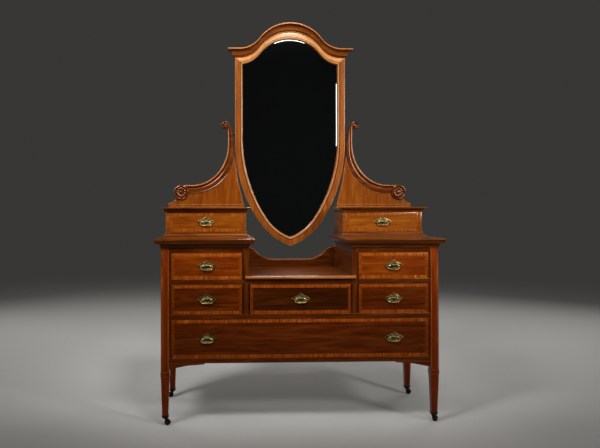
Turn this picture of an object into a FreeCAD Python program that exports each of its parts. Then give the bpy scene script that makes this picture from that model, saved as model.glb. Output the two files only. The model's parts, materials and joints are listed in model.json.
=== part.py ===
import FreeCAD, Part
import math
import os
import re

import Sketcher
from FreeCAD import Placement, Rotation, Vector

# Inlaid mahogany dressing table: two pedestals of drawers on each side of a low well, a long drawer
# below them, a jewel box on each pedestal, and a shield-shaped mirror that swings between two supports.
# Millimetres. X to the viewer's right, Y to the back, Z up, origin on the floor under the middle.

SIZES = {
    # pedestal tops
    "overall_width": 1220,
    "top_depth": 526,
    "top_thickness": 36,
    "top_overhang_side": 27,
    "top_overhang_front": 28,
    "top_overhang_back": 6,
    "top_overhang_well": 27,
    "top_arris": 7,
    "top_rake_foot": 2,
    # carcass, from the bottom rail upwards
    "carcass_bottom": 259,
    "rail_height": 21,
    "rail_depth": 60,
    "rail_setback": 1,
    "long_opening": 161,
    "middle_opening": 124,
    "upper_opening": 111,
    "panel_thickness": 18,
    "panel_setback": 2,
    "back_thickness": 10,
    "stile_thickness": 21,
    "bracket_length": 147,
    "bracket_depth": 23,
    "bracket_toe": 4,
    "bracket_heel": 16,
    "bracket_thickness": 16,
    # legs
    "leg_width": 35,
    "leg_toe": 24,
    "leg_foot": 38,
    "collar_bottom": 203,
    "collar_height": 20,
    "collar_proud": 1.2,
    # well between the pedestals
    "well_inset": 47,
    "shelf_thickness": 14,
    "nosing_depth": 15,
    "nosing_lap": 14,
    "nosing_round": 6,
    "gallery_thickness": 12,
    "gallery_inset": 7,
    "gallery_middle": 37,
    "gallery_ends": 96,
    "gallery_flat": 160,
    "gallery_cusp": 82,
    "gallery_shoulder": 46,
    "gallery_swell": 3,
    "gallery_housing": 3,
    # drawers
    "gap_beside_leg": 8.6,
    "slip_setback": 4,
    "gap_beside_stile": 5.5,
    "gap_over_drawer": 1.6,
    "runner_clearance": 0.4,
    "guide_clearance": 0.8,
    "runner_width": 52,
    "runner_thickness": 15,
    "guide_height": 20,
    "drawer_back_gap": 31,
    "drawer_front": 20,
    "drawer_side": 10,
    "drawer_back": 9,
    "drawer_base": 6,
    "drawer_base_lift": 8,
    "drawer_side_drop": 3,
    "keyhole_height": 36,
    "keyhole_radius": 2.4,
    "keyhole_slot": 7,
    "keyhole_slot_width": 2.4,
    "lock_width": 50,
    "lock_height": 34,
    "lock_thickness": 9,
    # jewel boxes
    "jewel_setback": 253,
    "jewel_inset_outer": 1,
    "jewel_inset_inner": 2,
    "jewel_side": 16.5,
    "jewel_opening": 88.5,
    "jewel_base_height": 22,
    "jewel_base_spread": 16,
    "jewel_base_arris": 4,
    "jewel_base_neck": 1,
    "jewel_housing": 3,
    "jewel_board": 5,
    "jewel_board_spread": 21,
    "jewel_mould": 16.5,
    "jewel_mould_spread": 3,
    "jewel_drawer_back_gap": 13,
    # handles
    "plate_half": 44,
    "plate_crest": 25,
    "plate_drop": 20.5,
    "plate_shoulder_out": 22,
    "plate_shoulder_up": 13,
    "plate_brow_out": 7.3,
    "plate_hollow": 1.6,
    "plate_thickness": 2,
    "ring_half": 23,
    "ring_rise": 16,
    "ring_band": 3.5,
    "ring_height": 2,
    "post_spread": 17,
    "post_radius": 4.2,
    "post_length": 11.5,
    "bail_axis": 7,
    "bail_wire": 3.8,
    "bail_drop": 18,
    "bail_elbow": 4,
    "bail_corner": 11,
    "bail_end_gap": 0.4,
    "bail_pin": 8.4,
    # mirror
    "pivot_height": 353,
    "pivot_from_back": 22,
    "mirror_width": 530,
    "mirror_rise": 530,
    "mirror_drop": 540,
    "mirror_spring_drop": 47,
    "frame_side": 36,
    "frame_tip": 44,
    "frame_frieze": 33,
    "frame_spring_step": 25,
    "tip_angle": 20,
    "hip_angle": 57,
    "frame_thickness": 26,
    "frame_lip": 10,
    "rebate_width": 8,
    "glass_thickness": 5,
    "glass_clearance": 0.5,
    "backboard_thickness": 7,
    "backboard_margin": 6,
    "ogee_shoulder": 19,
    "ogee_rise": 123,
    "ogee_foot_radius": 123,
    "cornice_top_height": 10,
    "cornice_top_reach": 34,
    "cornice_middle_height": 16,
    "cornice_middle_reach": 22,
    "cornice_foot_height": 14,
    "cornice_foot_reach": 9,
    "pin_radius": 4,
    "pin_in_frame": 28,
    "pin_in_support": 14,
    "pin_clearance": 0.05,
    "pin_collar_radius": 8,
    "pin_collar_gap": 0.6,
    # mirror supports
    "support_thickness": 22,
    "support_foot_inset": 50,
    "support_foot_overhang": 2,
    "support_knee_inset": 19,
    "support_knee_height": 130,
    "support_flare_height": 20,
    "support_heel_out": 18,
    "support_shin_bow": 3,
    "support_hollow": 6,
    "scroll_thickness": 34,
    "scroll_gap": 6,
    "scroll_neck": 27,
    "scroll_tail": 39,
    "scroll_tail_run": 53,
    "scroll_bottom": 68,
    "scroll_spring": 308,
    "scroll_inner_spring": 263,
    "volute_offset": 42,
    "volute_rise": 393,
    "volute_radius": 23,
    "volute_thickness": 40,
    "patera_inset": 59,
    "patera_rise": 72,
    "patera_radius": 36,
    "patera_ring": 6,
    "patera_boss": 12,
    # castors
    "socket_wall": 1.4,
    "socket_floor": 3,
    "socket_cup": 5,
    "socket_clearance": 0.6,
    "stem_radius": 4,
    "stem_length": 22,
    "stem_bore_clearance": 0.6,
    "swivel_gap": 0.3,
    "horn_disc_radius": 12,
    "horn_disc_height": 5,
    "horn_cheek": 3,
    "horn_eye": 5,
    "castor_trail": 9,
    "wheel_radius": 13,
    "wheel_width": 12,
    "wheel_edge": 3,
    "wheel_side_gap": 0.5,
    "axle_radius": 2,
    "axle_clearance": 0.05,
    "front_left_turn": -80,
    "front_right_turn": -55,
    "back_left_turn": 100,
    "back_right_turn": -70,
}

# Where things come, worked out from the sizes above.
PLACES = {
    "carcass_half": "overall_width / 2 - top_overhang_side",
    "front": "top_overhang_front - top_depth / 2",
    "back": "top_depth / 2 - top_overhang_back",
    "middle_depth": "(front + back) / 2",
    "face": "front + rail_setback",
    "rail_back": "face + rail_depth",
    "leg_inner": "carcass_half - leg_width",
    "leg_centre": "carcass_half - leg_width / 2",
    "leg_centre_front": "front + leg_width / 2",
    "front_leg_back": "front + leg_width",
    "back_leg_front": "back - leg_width",
    "back_inner": "back - back_thickness",
    "panel_outer": "carcass_half - panel_setback",
    "panel_inner": "panel_outer - panel_thickness",
    "long_bottom": "carcass_bottom + rail_height",
    "long_top": "long_bottom + long_opening",
    "middle_bottom": "long_top + rail_height",
    "middle_top": "middle_bottom + middle_opening",
    "upper_bottom": "middle_top + rail_height",
    "upper_top": "upper_bottom + upper_opening",
    "top_under": "upper_top + rail_height",
    "top_upper": "top_under + top_thickness",
    "stile_inner": "mirror_width / 2 - well_inset",
    "stile_outer": "stile_inner + stile_thickness",
    "outer_edge": "leg_inner - gap_beside_leg",
    "inner_edge": "stile_outer + gap_beside_stile",
    "centre_edge": "stile_inner - gap_beside_stile",
    "handle_place": "(inner_edge + outer_edge) / 2",
    "shelf_top": "upper_bottom + shelf_thickness",
    "drawer_end": "back_inner - drawer_back_gap",
    "gallery_back": "back - gallery_inset",
    "jewel_front": "front + jewel_setback",
    "jewel_face": "jewel_front + rail_setback",
    "jewel_outer": "carcass_half - jewel_inset_outer",
    "jewel_inner": "stile_inner + jewel_inset_inner",
    "jewel_bottom": "top_upper + jewel_base_height",
    "jewel_top": "jewel_bottom + jewel_opening",
    "jewel_board_under": "jewel_top + jewel_mould",
    "jewel_upper": "jewel_board_under + jewel_board",
    "jewel_base_inner": "jewel_inner - jewel_base_spread",
    "jewel_base_outer": "jewel_outer + jewel_base_spread",
    "jewel_base_front": "jewel_front - jewel_base_spread",
    "jewel_edge_inner": "jewel_inner + jewel_side + guide_clearance",
    "jewel_edge_outer": "jewel_outer - jewel_side - guide_clearance",
    "jewel_drawer_end": "back_inner - jewel_drawer_back_gap",
    "pivot_depth": "back - pivot_from_back",
    "pivot_level": "jewel_upper + pivot_height",
    "frame_half": "mirror_width / 2",
    "frame_front": "pivot_depth - frame_thickness / 2",
    "frame_back": "pivot_depth + frame_thickness / 2",
    "frame_tip_level": "pivot_level - mirror_drop",
    "frame_spring": "pivot_level - mirror_spring_drop",
    "cornice_apex": "pivot_level + mirror_rise",
    "cornice_height": "cornice_top_height + cornice_middle_height + cornice_foot_height",
    "frame_apex": "cornice_apex - cornice_height",
    "sight_half": "frame_half - frame_side",
    "sight_tip": "frame_tip_level + frame_tip",
    "sight_spring": "frame_spring + frame_spring_step",
    "sight_apex": "frame_apex - frame_frieze",
    "neck_inner": "frame_half + scroll_gap",
    "neck_outer": "neck_inner + scroll_neck",
    "patera_place": "jewel_outer - patera_inset",
    "scroll_tail_place": "patera_place - scroll_tail_run",
    "scroll_spring_level": "jewel_upper + scroll_spring",
    "scroll_inner_level": "jewel_upper + scroll_inner_spring",
    "scroll_low": "jewel_upper + scroll_bottom",
    "scroll_high": "scroll_low + scroll_tail",
    "volute_place": "neck_inner + volute_offset",
    "volute_level": "jewel_upper + volute_rise",
    "patera_level": "jewel_upper + patera_rise",
    "horn_top": "leg_foot - socket_floor - swivel_gap",
    "horn_under": "horn_top - horn_disc_height",
    "bail_hole": "bail_wire / 2 + pin_clearance",
    "bail_reach": "post_spread + post_radius + bail_end_gap + bail_elbow",
}

DEPTH_WISE = Rotation(Vector(1, 0, 0), -90)
WIDTH_WISE = Rotation(Vector(0, 1, 0), 90)
FUNCTIONS = ("sin", "cos", "deg")
CLOSE = 1e-6

doc = FreeCAD.newDocument("DressingTable")
sheet = doc.addObject("Spreadsheet::Sheet", "Size")
for row, (alias, number) in enumerate(SIZES.items(), start=1):
    sheet.set(f"A{row}", str(number))
    sheet.setAlias(f"A{row}", alias)
places = doc.addObject("App::VarSet", "Place")
nodes = []


def tied(formula, own=""):
    """Formula text with each word tied to its cell in the sheet or to a worked-out place."""
    def owner(word):
        name = word[0]
        if name in FUNCTIONS:
            return name
        if name in SIZES:
            return f"Size.{name}"
        if name in PLACES:
            return own + name
        raise KeyError(name)
    return re.sub(r"[a-z_]+", owner, formula)


for alias, formula in PLACES.items():
    places.addProperty("App::PropertyFloat", alias)
    places.setExpression(alias, tied(formula))
doc.recompute()


def mm(name):
    """Present value of a size or a place."""
    return float(sheet.get(name)) if name in SIZES else float(getattr(places, name))


def bind(piece, prop, formula):
    """Tie one property of a piece to a formula."""
    piece.setExpression(prop, tied(formula, "Place."))


def put(piece, x="0", y="0", z="0"):
    """Tie the place of a piece to three formulas."""
    for axis, formula in zip("xyz", (x, y, z)):
        bind(piece, f"Placement.Base.{axis}", formula)
    return piece


def board(name, x, y, z):
    """Square-edged board between a low and a high formula on each axis."""
    piece = doc.addObject("Part::Box", name)
    for side, (low, high) in zip(("Length", "Width", "Height"), (x, y, z)):
        bind(piece, side, f"({high}) - ({low})")
    return put(piece, x[0], y[0], z[0])


def raked(name, lower, upper, levels):
    """Block with sloping sides between two level rectangles, each an X range and a Y range."""
    piece = doc.addObject("Part::Wedge", name)
    piece.Placement = Placement(Vector(), Rotation(Vector(1, 0, 0), 90))
    for mark, (x, y) in (("", lower), ("2", upper)):
        bind(piece, f"X{mark}min", x[0])
        bind(piece, f"X{mark}max", x[1])
        bind(piece, f"Z{mark}min", f"-({y[1]})")
        bind(piece, f"Z{mark}max", f"-({y[0]})")
    bind(piece, "Ymin", levels[0])
    bind(piece, "Ymax", levels[1])
    return piece


def rod(name, radius, length, at, turn=Rotation()):
    """Round bar from a point, along Z or turned to another axis."""
    piece = doc.addObject("Part::Cylinder", name)
    piece.Placement = Placement(Vector(), turn)
    bind(piece, "Radius", radius)
    bind(piece, "Height", length)
    return put(piece, *at)


def solid(name, shape, at=("0", "0", "0")):
    """Shaped piece that no primitive or pad gives, at its place."""
    piece = doc.addObject("Part::Feature", name)
    piece.Shape = shape
    return put(piece, *at)


def fused(name, pieces):
    """Several shapes made one piece of material."""
    piece = doc.addObject("Part::MultiFuse", name)
    piece.Shapes = pieces
    return piece


def cut(name, base, tool):
    """Piece with another shape cut out of it."""
    piece = doc.addObject("Part::Cut", name)
    piece.Base = base
    piece.Tool = tool
    return piece


def flipped(piece):
    """The same piece on the left-hand side."""
    copy = doc.addObject("Part::Mirroring", f"{piece.Name}_left")
    copy.Source = piece
    copy.Normal = Vector(1, 0, 0)
    return copy


def pair(piece):
    """A right-hand piece and its left-hand twin."""
    return [piece, flipped(piece)]


def node(label, pieces):
    """Sub-part of the table: one piece, or a group of separate ones."""
    if len(pieces) == 1:
        group = pieces[0]
    else:
        group = doc.addObject("Part::Compound", f"{label}_group")
        group.Links = pieces
    group.Label = label
    nodes.append(group)


def sketched(body, name, role, corners):
    """Closed straight-sided sketch on an origin plane, each corner tied to two formulas."""
    plane = next(item for item in body.Origin.OriginFeatures if item.Role == role)
    sketch = body.newObject("Sketcher::SketchObject", name)
    sketch.AttachmentSupport = (plane, [""])
    sketch.MapMode = "FlatFace"
    count = len(corners)
    angles = [math.tau * i / count for i in range(count)]
    start = [Vector(math.cos(angle), math.sin(angle), 0) for angle in angles]
    for i in range(count):
        sketch.addGeometry(Part.LineSegment(start[i], start[(i + 1) % count]), False)
    for i in range(count):
        sketch.addConstraint(Sketcher.Constraint("Coincident", i, 2, (i + 1) % count, 1))
    for i, corner in enumerate(corners):
        for kind, formula, guess in zip(("DistanceX", "DistanceY"), corner, start[i]):
            index = sketch.addConstraint(Sketcher.Constraint(kind, -1, 1, i, 1, guess))
            bind(sketch, f"Constraints[{index}]", formula)
    return sketch


def padded(body, name, sketch, length, reverse=False):
    """Sketch padded to a thickness."""
    pad = body.newObject("PartDesign::Pad", name)
    pad.Profile = sketch
    pad.Reversed = reverse
    bind(pad, "Length", length)
    doc.recompute()
    return pad


def rounded(body, name, feature, chosen, radius):
    """Fillet along the edges that the test chooses."""
    edges = [f"Edge{i}" for i, edge in enumerate(feature.Shape.Edges, start=1) if chosen(edge.BoundBox)]
    fillet = body.newObject("PartDesign::Fillet", name)
    fillet.Base = (feature, edges)
    bind(fillet, "Radius", radius)
    doc.recompute()
    return fillet


def arc(start, through, end):
    """Edge of a circle through three points."""
    return Part.Arc(start, through, end).toShape()


def line(start, end):
    """Straight edge."""
    return Part.LineSegment(start, end).toShape()


def upright(x, z):
    """Point of an outline that stands in the plane of the mirror."""
    return Vector(x, 0, z)


def slab(edges, depth):
    """Outline in the plane of the mirror, given a depth towards the back."""
    return Part.Face(Part.Wire(edges)).extrude(Vector(0, depth, 0))


def make_legs():
    """Square legs: a straight post, a proud collar and a taper to the toe, bored for the castor's stem."""
    post = board("leg_post", ("leg_inner", "carcass_half"), ("front", "front_leg_back"),
                 ("collar_bottom + collar_height", "top_under"))
    collar = board("leg_collar", ("leg_inner - collar_proud", "carcass_half + collar_proud"),
                   ("front - collar_proud", "front_leg_back + collar_proud"),
                   ("collar_bottom", "collar_bottom + collar_height"))
    def square(width):
        return [(f"{centre} - {width} / 2", f"{centre} + {width} / 2")
                for centre in ("leg_centre", "leg_centre_front")]
    taper = raked("leg_taper", square("leg_toe"), square("leg_width"), ("leg_foot", "collar_bottom"))
    bore = rod("leg_bore", "stem_radius + stem_bore_clearance", "stem_length + stem_bore_clearance",
               ("leg_centre", "leg_centre_front", "leg_foot"))
    front_leg = cut("front_leg", fused("leg_blank", [post, collar, taper]), bore)
    back_leg = doc.addObject("Part::Mirroring", "back_leg")
    back_leg.Source = front_leg
    back_leg.Normal = Vector(0, 1, 0)
    bind(back_leg, "Base.y", "middle_depth")
    node("legs", pair(front_leg) + pair(back_leg))


def make_carcass():
    """Side panels, partitions, back boards, rails, slips, brackets, and the drawers' runners and guides."""
    node("side_panels", pair(board("side_panel", ("panel_inner", "panel_outer"),
                                   ("front_leg_back", "back_leg_front"), ("carcass_bottom", "top_under"))))
    node("partitions", pair(board("partition", ("stile_inner", "stile_outer"), ("face", "back_inner"),
                                  ("middle_bottom", "top_under"))))
    behind = ("back_inner", "back")
    whole = ("-leg_inner", "leg_inner")
    lower_back = board("lower_back", whole, behind, ("carcass_bottom", "upper_bottom"))
    upper_back = board("upper_back", ("stile_inner", "leg_inner"), behind, ("upper_bottom", "top_under"))
    node("back_boards", [lower_back] + pair(upper_back))
    beside = ("stile_outer", "leg_inner")
    deep = ("face", "rail_back")
    rails = [board("bottom_rail", whole, deep, ("carcass_bottom", "long_bottom")),
             board("long_rail", whole, deep, ("long_top", "middle_bottom")),
             board("well_rail", ("-stile_inner", "stile_inner"), deep, ("middle_top", "upper_bottom"))]
    rails += pair(board("upper_rail", beside, deep, ("middle_top", "upper_bottom")))
    rails += pair(board("top_rail", beside, deep, ("upper_top", "top_under")))
    for name in ("long", "middle", "upper"):
        rails += pair(board(f"{name}_slip", ("outer_edge + guide_clearance", "leg_inner"),
                            ("face + slip_setback", "front_leg_back"), (f"{name}_bottom", f"{name}_top")))
    node("front_rails", rails + pair(make_bracket()))
    runners = []
    guides = []
    outer_wall = "panel_inner"
    for name, level in (("long", "long_bottom"), ("middle", "middle_bottom"), ("upper", "upper_bottom")):
        runners.append(make_runner(f"{name}_outer", outer_wall, f"{outer_wall} - runner_width", level))
        guides.append(make_guide(f"{name}_outer", "outer_edge + guide_clearance", outer_wall, level))
    for name, level in (("middle", "middle_bottom"), ("upper", "upper_bottom")):
        runners.append(make_runner(f"{name}_inner", "stile_outer", "stile_outer + runner_width", level))
        guides.append(make_guide(f"{name}_inner", "stile_outer", "inner_edge - guide_clearance", level))
    runners.append(make_runner("centre", "stile_inner", "stile_inner - runner_width", "middle_bottom"))
    guides.append(make_guide("centre", "centre_edge + guide_clearance", "stile_inner", "middle_bottom"))
    node("drawer_runners", [twin for piece in runners + guides for twin in pair(piece)])


def make_runner(name, wall, free, level):
    """Strip that carries a drawer's side, level with the rail in front of it."""
    sides = (free, wall) if "-" in free else (wall, free)
    return board(f"{name}_runner", sides, ("rail_back", "back_leg_front"),
                 (f"{level} - runner_thickness", level))


def make_guide(name, low, high, level):
    """Strip that keeps a drawer straight."""
    return board(f"{name}_guide", (low, high), ("front_leg_back", "back_leg_front"),
                 (level, f"{level} + guide_height"))


def make_bracket():
    """Shallow shaped bracket in the corner under the bottom rail."""
    body = doc.addObject("PartDesign::Body", "bracket")
    corners = [("leg_inner", "0"), ("leg_inner - bracket_length", "0"),
               ("leg_inner - bracket_length", "-bracket_toe"),
               ("leg_inner - bracket_length / 2", "-bracket_depth / 2 + bracket_toe / 2"),
               ("leg_inner - bracket_heel", "-bracket_depth + bracket_toe / 2"),
               ("leg_inner", "-bracket_depth")]
    outline = sketched(body, "bracket_outline", "XZ_Plane", corners)
    padded(body, "bracket_pad", outline, "bracket_thickness", True)
    return put(body, "0", "face", "carcass_bottom")


def make_tops():
    """Moulded tops of the pedestals, the shelf of the well with its nosing, and the shaped gallery.

    The jewel boxes and the gallery stand in shallow housings in them.
    """
    across = ("stile_inner - top_overhang_well", "overall_width / 2")
    deep = ("-top_depth / 2", "top_depth / 2")
    edge = "top_upper - top_arris"
    plank = board("top_plank", across, deep, (edge, "top_upper"))
    foot = (("stile_inner - top_rake_foot", "carcass_half + top_rake_foot"),
            ("front - top_rake_foot", "top_depth / 2"))
    body = fused("pedestal_top", [plank, raked("top_mould", foot, (across, deep), ("top_under", edge))])
    housing = board("jewel_housing", ("jewel_base_inner", "jewel_base_outer"), ("jewel_base_front", "back"),
                    ("top_upper - jewel_housing", "top_upper"))
    node("pedestal_tops", pair(cut("housed_top", body, housing)))

    shelf = doc.addObject("PartDesign::Body", "shelf")
    lap = "stile_inner + nosing_lap"
    corners = [(f"-({lap})", "face - nosing_depth"), (lap, "face - nosing_depth"), (lap, "face"),
               ("stile_inner", "face"), ("stile_inner", "back"), ("-stile_inner", "back"),
               ("-stile_inner", "face"), (f"-({lap})", "face")]
    outline = sketched(shelf, "shelf_outline", "XY_Plane", corners)
    pad = padded(shelf, "shelf_pad", outline, "shelf_thickness")
    nose = mm("face") - mm("nosing_depth")
    def along_nose(box):
        in_front = abs(box.YMin - nose) < CLOSE and abs(box.YMax - nose) < CLOSE
        return in_front and box.XLength > mm("nosing_lap")
    rounded(shelf, "nosing", pad, along_nose, "nosing_round")
    put(shelf, z="upper_bottom")
    groove = board("gallery_groove", ("-stile_inner", "stile_inner"),
                   ("gallery_back - gallery_thickness", "gallery_back"),
                   ("shelf_top - gallery_housing", "shelf_top"))
    node("well_shelf", [cut("grooved_shelf", shelf, groove)])

    half = mm("stile_inner")
    flat = mm("gallery_flat") / 2
    cusp = half - mm("gallery_shoulder")
    low = mm("gallery_middle")
    high = mm("gallery_cusp")
    sweep = cusp - flat
    radius = (sweep ** 2 + (high - low) ** 2) / (2 * (high - low))
    bend = math.asin(sweep / radius) / 2
    rising = upright(flat + radius * math.sin(bend), low + radius * (1 - math.cos(bend)))
    point = upright(cusp, high)
    end = upright(half, mm("gallery_ends"))
    foot = upright(half, -mm("gallery_housing"))
    swell = (point + end) / 2 + upright(0, mm("gallery_swell"))
    right = [line(upright(flat, low), upright(-flat, low)), arc(upright(flat, low), rising, point),
             arc(point, swell, end), line(end, foot), line(foot, upright(-half, foot.z))]
    left = [edge.mirror(Vector(), Vector(1, 0, 0)) for edge in right[1:4]]
    outline = Part.__sortEdges__(right + left)
    gallery = solid("gallery", slab(outline, mm("gallery_thickness")),
                    ("0", "gallery_back - gallery_thickness", "shelf_top"))
    node("well_gallery", [gallery])


def round_box(spread):
    """X and Y ranges of a moulding that stands out from a jewel box on all sides but the back."""
    return ((f"jewel_inner - {spread}", f"jewel_outer + {spread}"), (f"jewel_front - {spread}", "back"))


def make_jewel_boxes():
    """Small case on each pedestal: moulded base, sides and back, and a moulded top."""
    spread = (("jewel_base_inner", "jewel_base_outer"), ("jewel_base_front", "back"))
    edge = "top_upper + jewel_base_arris"
    plinth = board("jewel_plinth", *spread, ("top_upper - jewel_housing", edge))
    neck = round_box("jewel_base_neck")
    base = fused("jewel_base", [plinth, raked("jewel_base_mould", spread, neck, (edge, "jewel_bottom"))])
    standing = ("jewel_bottom", "jewel_top")
    deep = ("jewel_front", "back")
    hollow = ("jewel_inner + jewel_side", "jewel_outer - jewel_side")
    inner = board("jewel_inner_side", ("jewel_inner", hollow[0]), deep, standing)
    outer = board("jewel_outer_side", (hollow[1], "jewel_outer"), deep, standing)
    rear = board("jewel_back", hollow, ("back_inner", "back"), standing)
    node("jewel_boxes", [twin for piece in (base, inner, outer, rear) for twin in pair(piece)])

    spread = round_box("jewel_board_spread")
    plank = board("jewel_plank", *spread, ("jewel_board_under", "jewel_upper"))
    foot = round_box("jewel_mould_spread")
    mould = raked("jewel_top_mould", foot, spread, ("jewel_top", "jewel_board_under"))
    node("jewel_tops", pair(fused("jewel_top_board", [plank, mould])))


def ogee(half, apex):
    """Edges of the arched head from right to left: shoulder, hollow foot, crown, and back down."""
    run = mm("frame_half") - mm("ogee_shoulder")
    rise = mm("ogee_rise")
    foot = mm("ogee_foot_radius")
    crown = (run ** 2 + rise ** 2) / (2 * rise) - foot
    share = foot / (foot + crown)
    shoulder = apex - rise
    turn = upright(run - run * share, shoulder + rise * share)
    begin = min(half, run)
    def hollow(x):
        return upright(x, shoulder + foot - math.sqrt(foot ** 2 - (run - x) ** 2))
    right = [arc(hollow(begin), hollow((begin + turn.x) / 2), turn)]
    if half > run:
        right.insert(0, line(upright(half, shoulder), upright(run, shoulder)))
    left = [edge.mirror(Vector(), Vector(1, 0, 0)) for edge in right]
    return right + [arc(turn, upright(0, apex), upright(-turn.x, turn.z))] + left[::-1]


def head_end(half, apex):
    """Height of the arched head where it ends at a half width."""
    corners = [vertex for edge in ogee(half, apex) for vertex in edge.Vertexes]
    return max(corner.Z for corner in corners if corner.X > half - CLOSE)


def shield(half, spring, tip, apex):
    """Outline of the mirror: arched head, straight sides, and two arcs on each side down to the tip."""
    drop = spring - tip
    start = math.radians(mm("tip_angle"))
    turn = math.radians(mm("hip_angle"))
    run = math.sin(turn) - math.sin(start)
    rise = math.cos(start) - math.cos(turn)
    rest = 1 - math.sin(turn)
    share = run * math.cos(turn) - rest * rise
    hip_radius = (half * math.cos(turn) - drop * rest) / share
    side_radius = (drop * run - half * rise) / share
    def at_hip(angle):
        return upright(hip_radius * (math.sin(angle) - math.sin(start)),
                       tip + hip_radius * (math.cos(start) - math.cos(angle)))
    def at_side(angle):
        return upright(half - side_radius * (1 - math.sin(angle)), spring - side_radius * math.cos(angle))
    side = [arc(at_hip(start), at_hip((start + turn) / 2), at_hip(turn)),
            arc(at_hip(turn), at_side((turn + math.pi / 2) / 2), upright(half, spring)),
            line(upright(half, spring), upright(half, head_end(half, apex)))]
    other = [edge.mirror(Vector(), Vector(1, 0, 0)) for edge in side]
    return Part.__sortEdges__(side + ogee(half, apex) + other)


def grown_shield(margin):
    """Outline of the sight opening, grown all round by a margin."""
    return shield(mm("sight_half") + margin, mm("sight_spring"), mm("sight_tip") - margin,
                  mm("sight_apex") + margin)


def make_mirror():
    """Frame with its rebate, the glass in it, the back board, the arched cornice and the pivot pins."""
    outline = shield(mm("frame_half"), mm("frame_spring"), mm("frame_tip_level"), mm("frame_apex"))
    blank = solid("frame_blank", slab(outline, mm("frame_thickness")), ("0", "frame_front", "0"))
    sight = solid("sight", slab(grown_shield(0), mm("frame_thickness")), ("0", "frame_front", "0"))
    rebate = solid("rebate", slab(grown_shield(mm("rebate_width")), mm("frame_thickness")),
                   ("0", "frame_front + frame_lip", "0"))
    bore = rod("frame_bore", "pin_radius + pin_clearance", "pin_in_frame + pin_clearance",
               ("frame_half - pin_in_frame - pin_clearance", "pivot_depth", "pivot_level"), WIDTH_WISE)
    node("mirror_frame", [cut("frame", blank, fused("frame_cuts", [sight, rebate] + pair(bore)))])

    pane = slab(grown_shield(mm("rebate_width") - mm("glass_clearance")), mm("glass_thickness"))
    node("mirror_glass", [solid("glass", pane, ("0", "frame_front + frame_lip", "0"))])
    cover = slab(grown_shield(mm("rebate_width") + mm("backboard_margin")), mm("backboard_thickness"))
    node("mirror_backboard", [solid("backboard", cover, ("0", "frame_back", "0"))])

    steps = []
    apex = mm("cornice_apex")
    for name in ("top", "middle", "foot"):
        reach = mm(f"cornice_{name}_reach")
        height = mm(f"cornice_{name}_height")
        half = mm("frame_half") + reach
        under = [edge.translated(Vector(0, 0, -height)) for edge in ogee(half, apex)]
        end = head_end(half, apex)
        ends = [line(upright(x, end), upright(x, end - height)) for x in (half, -half)]
        outline = Part.__sortEdges__(ogee(half, apex) + under + ends)
        steps.append(solid(f"cornice_{name}", slab(outline, mm("frame_thickness") + reach),
                           ("0", f"frame_front - cornice_{name}_reach", "0")))
        apex -= height
    node("mirror_cornice", [fused("cornice", steps)])

    pin = rod("pivot_pin", "pin_radius", "pin_in_frame + scroll_gap + pin_in_support",
              ("frame_half - pin_in_frame", "pivot_depth", "pivot_level"), WIDTH_WISE)
    collar = rod("pivot_collar", "pin_collar_radius", "scroll_gap - pin_collar_gap",
                 ("frame_half", "pivot_depth", "pivot_level"), WIDTH_WISE)
    node("mirror_pivots", pair(fused("pivot", [pin, collar])))


def quarter_oval(centre, across, up):
    """Quarter of an oval from below its centre round to the side that faces the mirror."""
    side = centre - Vector(across, 0, 0)
    foot = centre - Vector(0, 0, up)
    oval = Part.Ellipse(foot, side, centre) if up > across else Part.Ellipse(side, foot, centre)
    start, end = oval.parameter(foot), oval.parameter(side)
    if (end - start) % math.tau > math.pi:
        start, end = end, start
    return Part.ArcOfEllipse(oval, start, start + (end - start) % math.tau).toShape()


def bowed(start, end):
    """Arc that leaves its start straight upwards and bends across to its end."""
    across = end.x - start.x
    up = end.z - start.z
    radius = (across ** 2 + up ** 2) / (2 * across)
    bend = math.asin(up / abs(radius)) / 2
    through = upright(start.x + radius * (1 - math.cos(bend)), start.z + abs(radius) * math.sin(bend))
    return arc(start, through, end)


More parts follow.
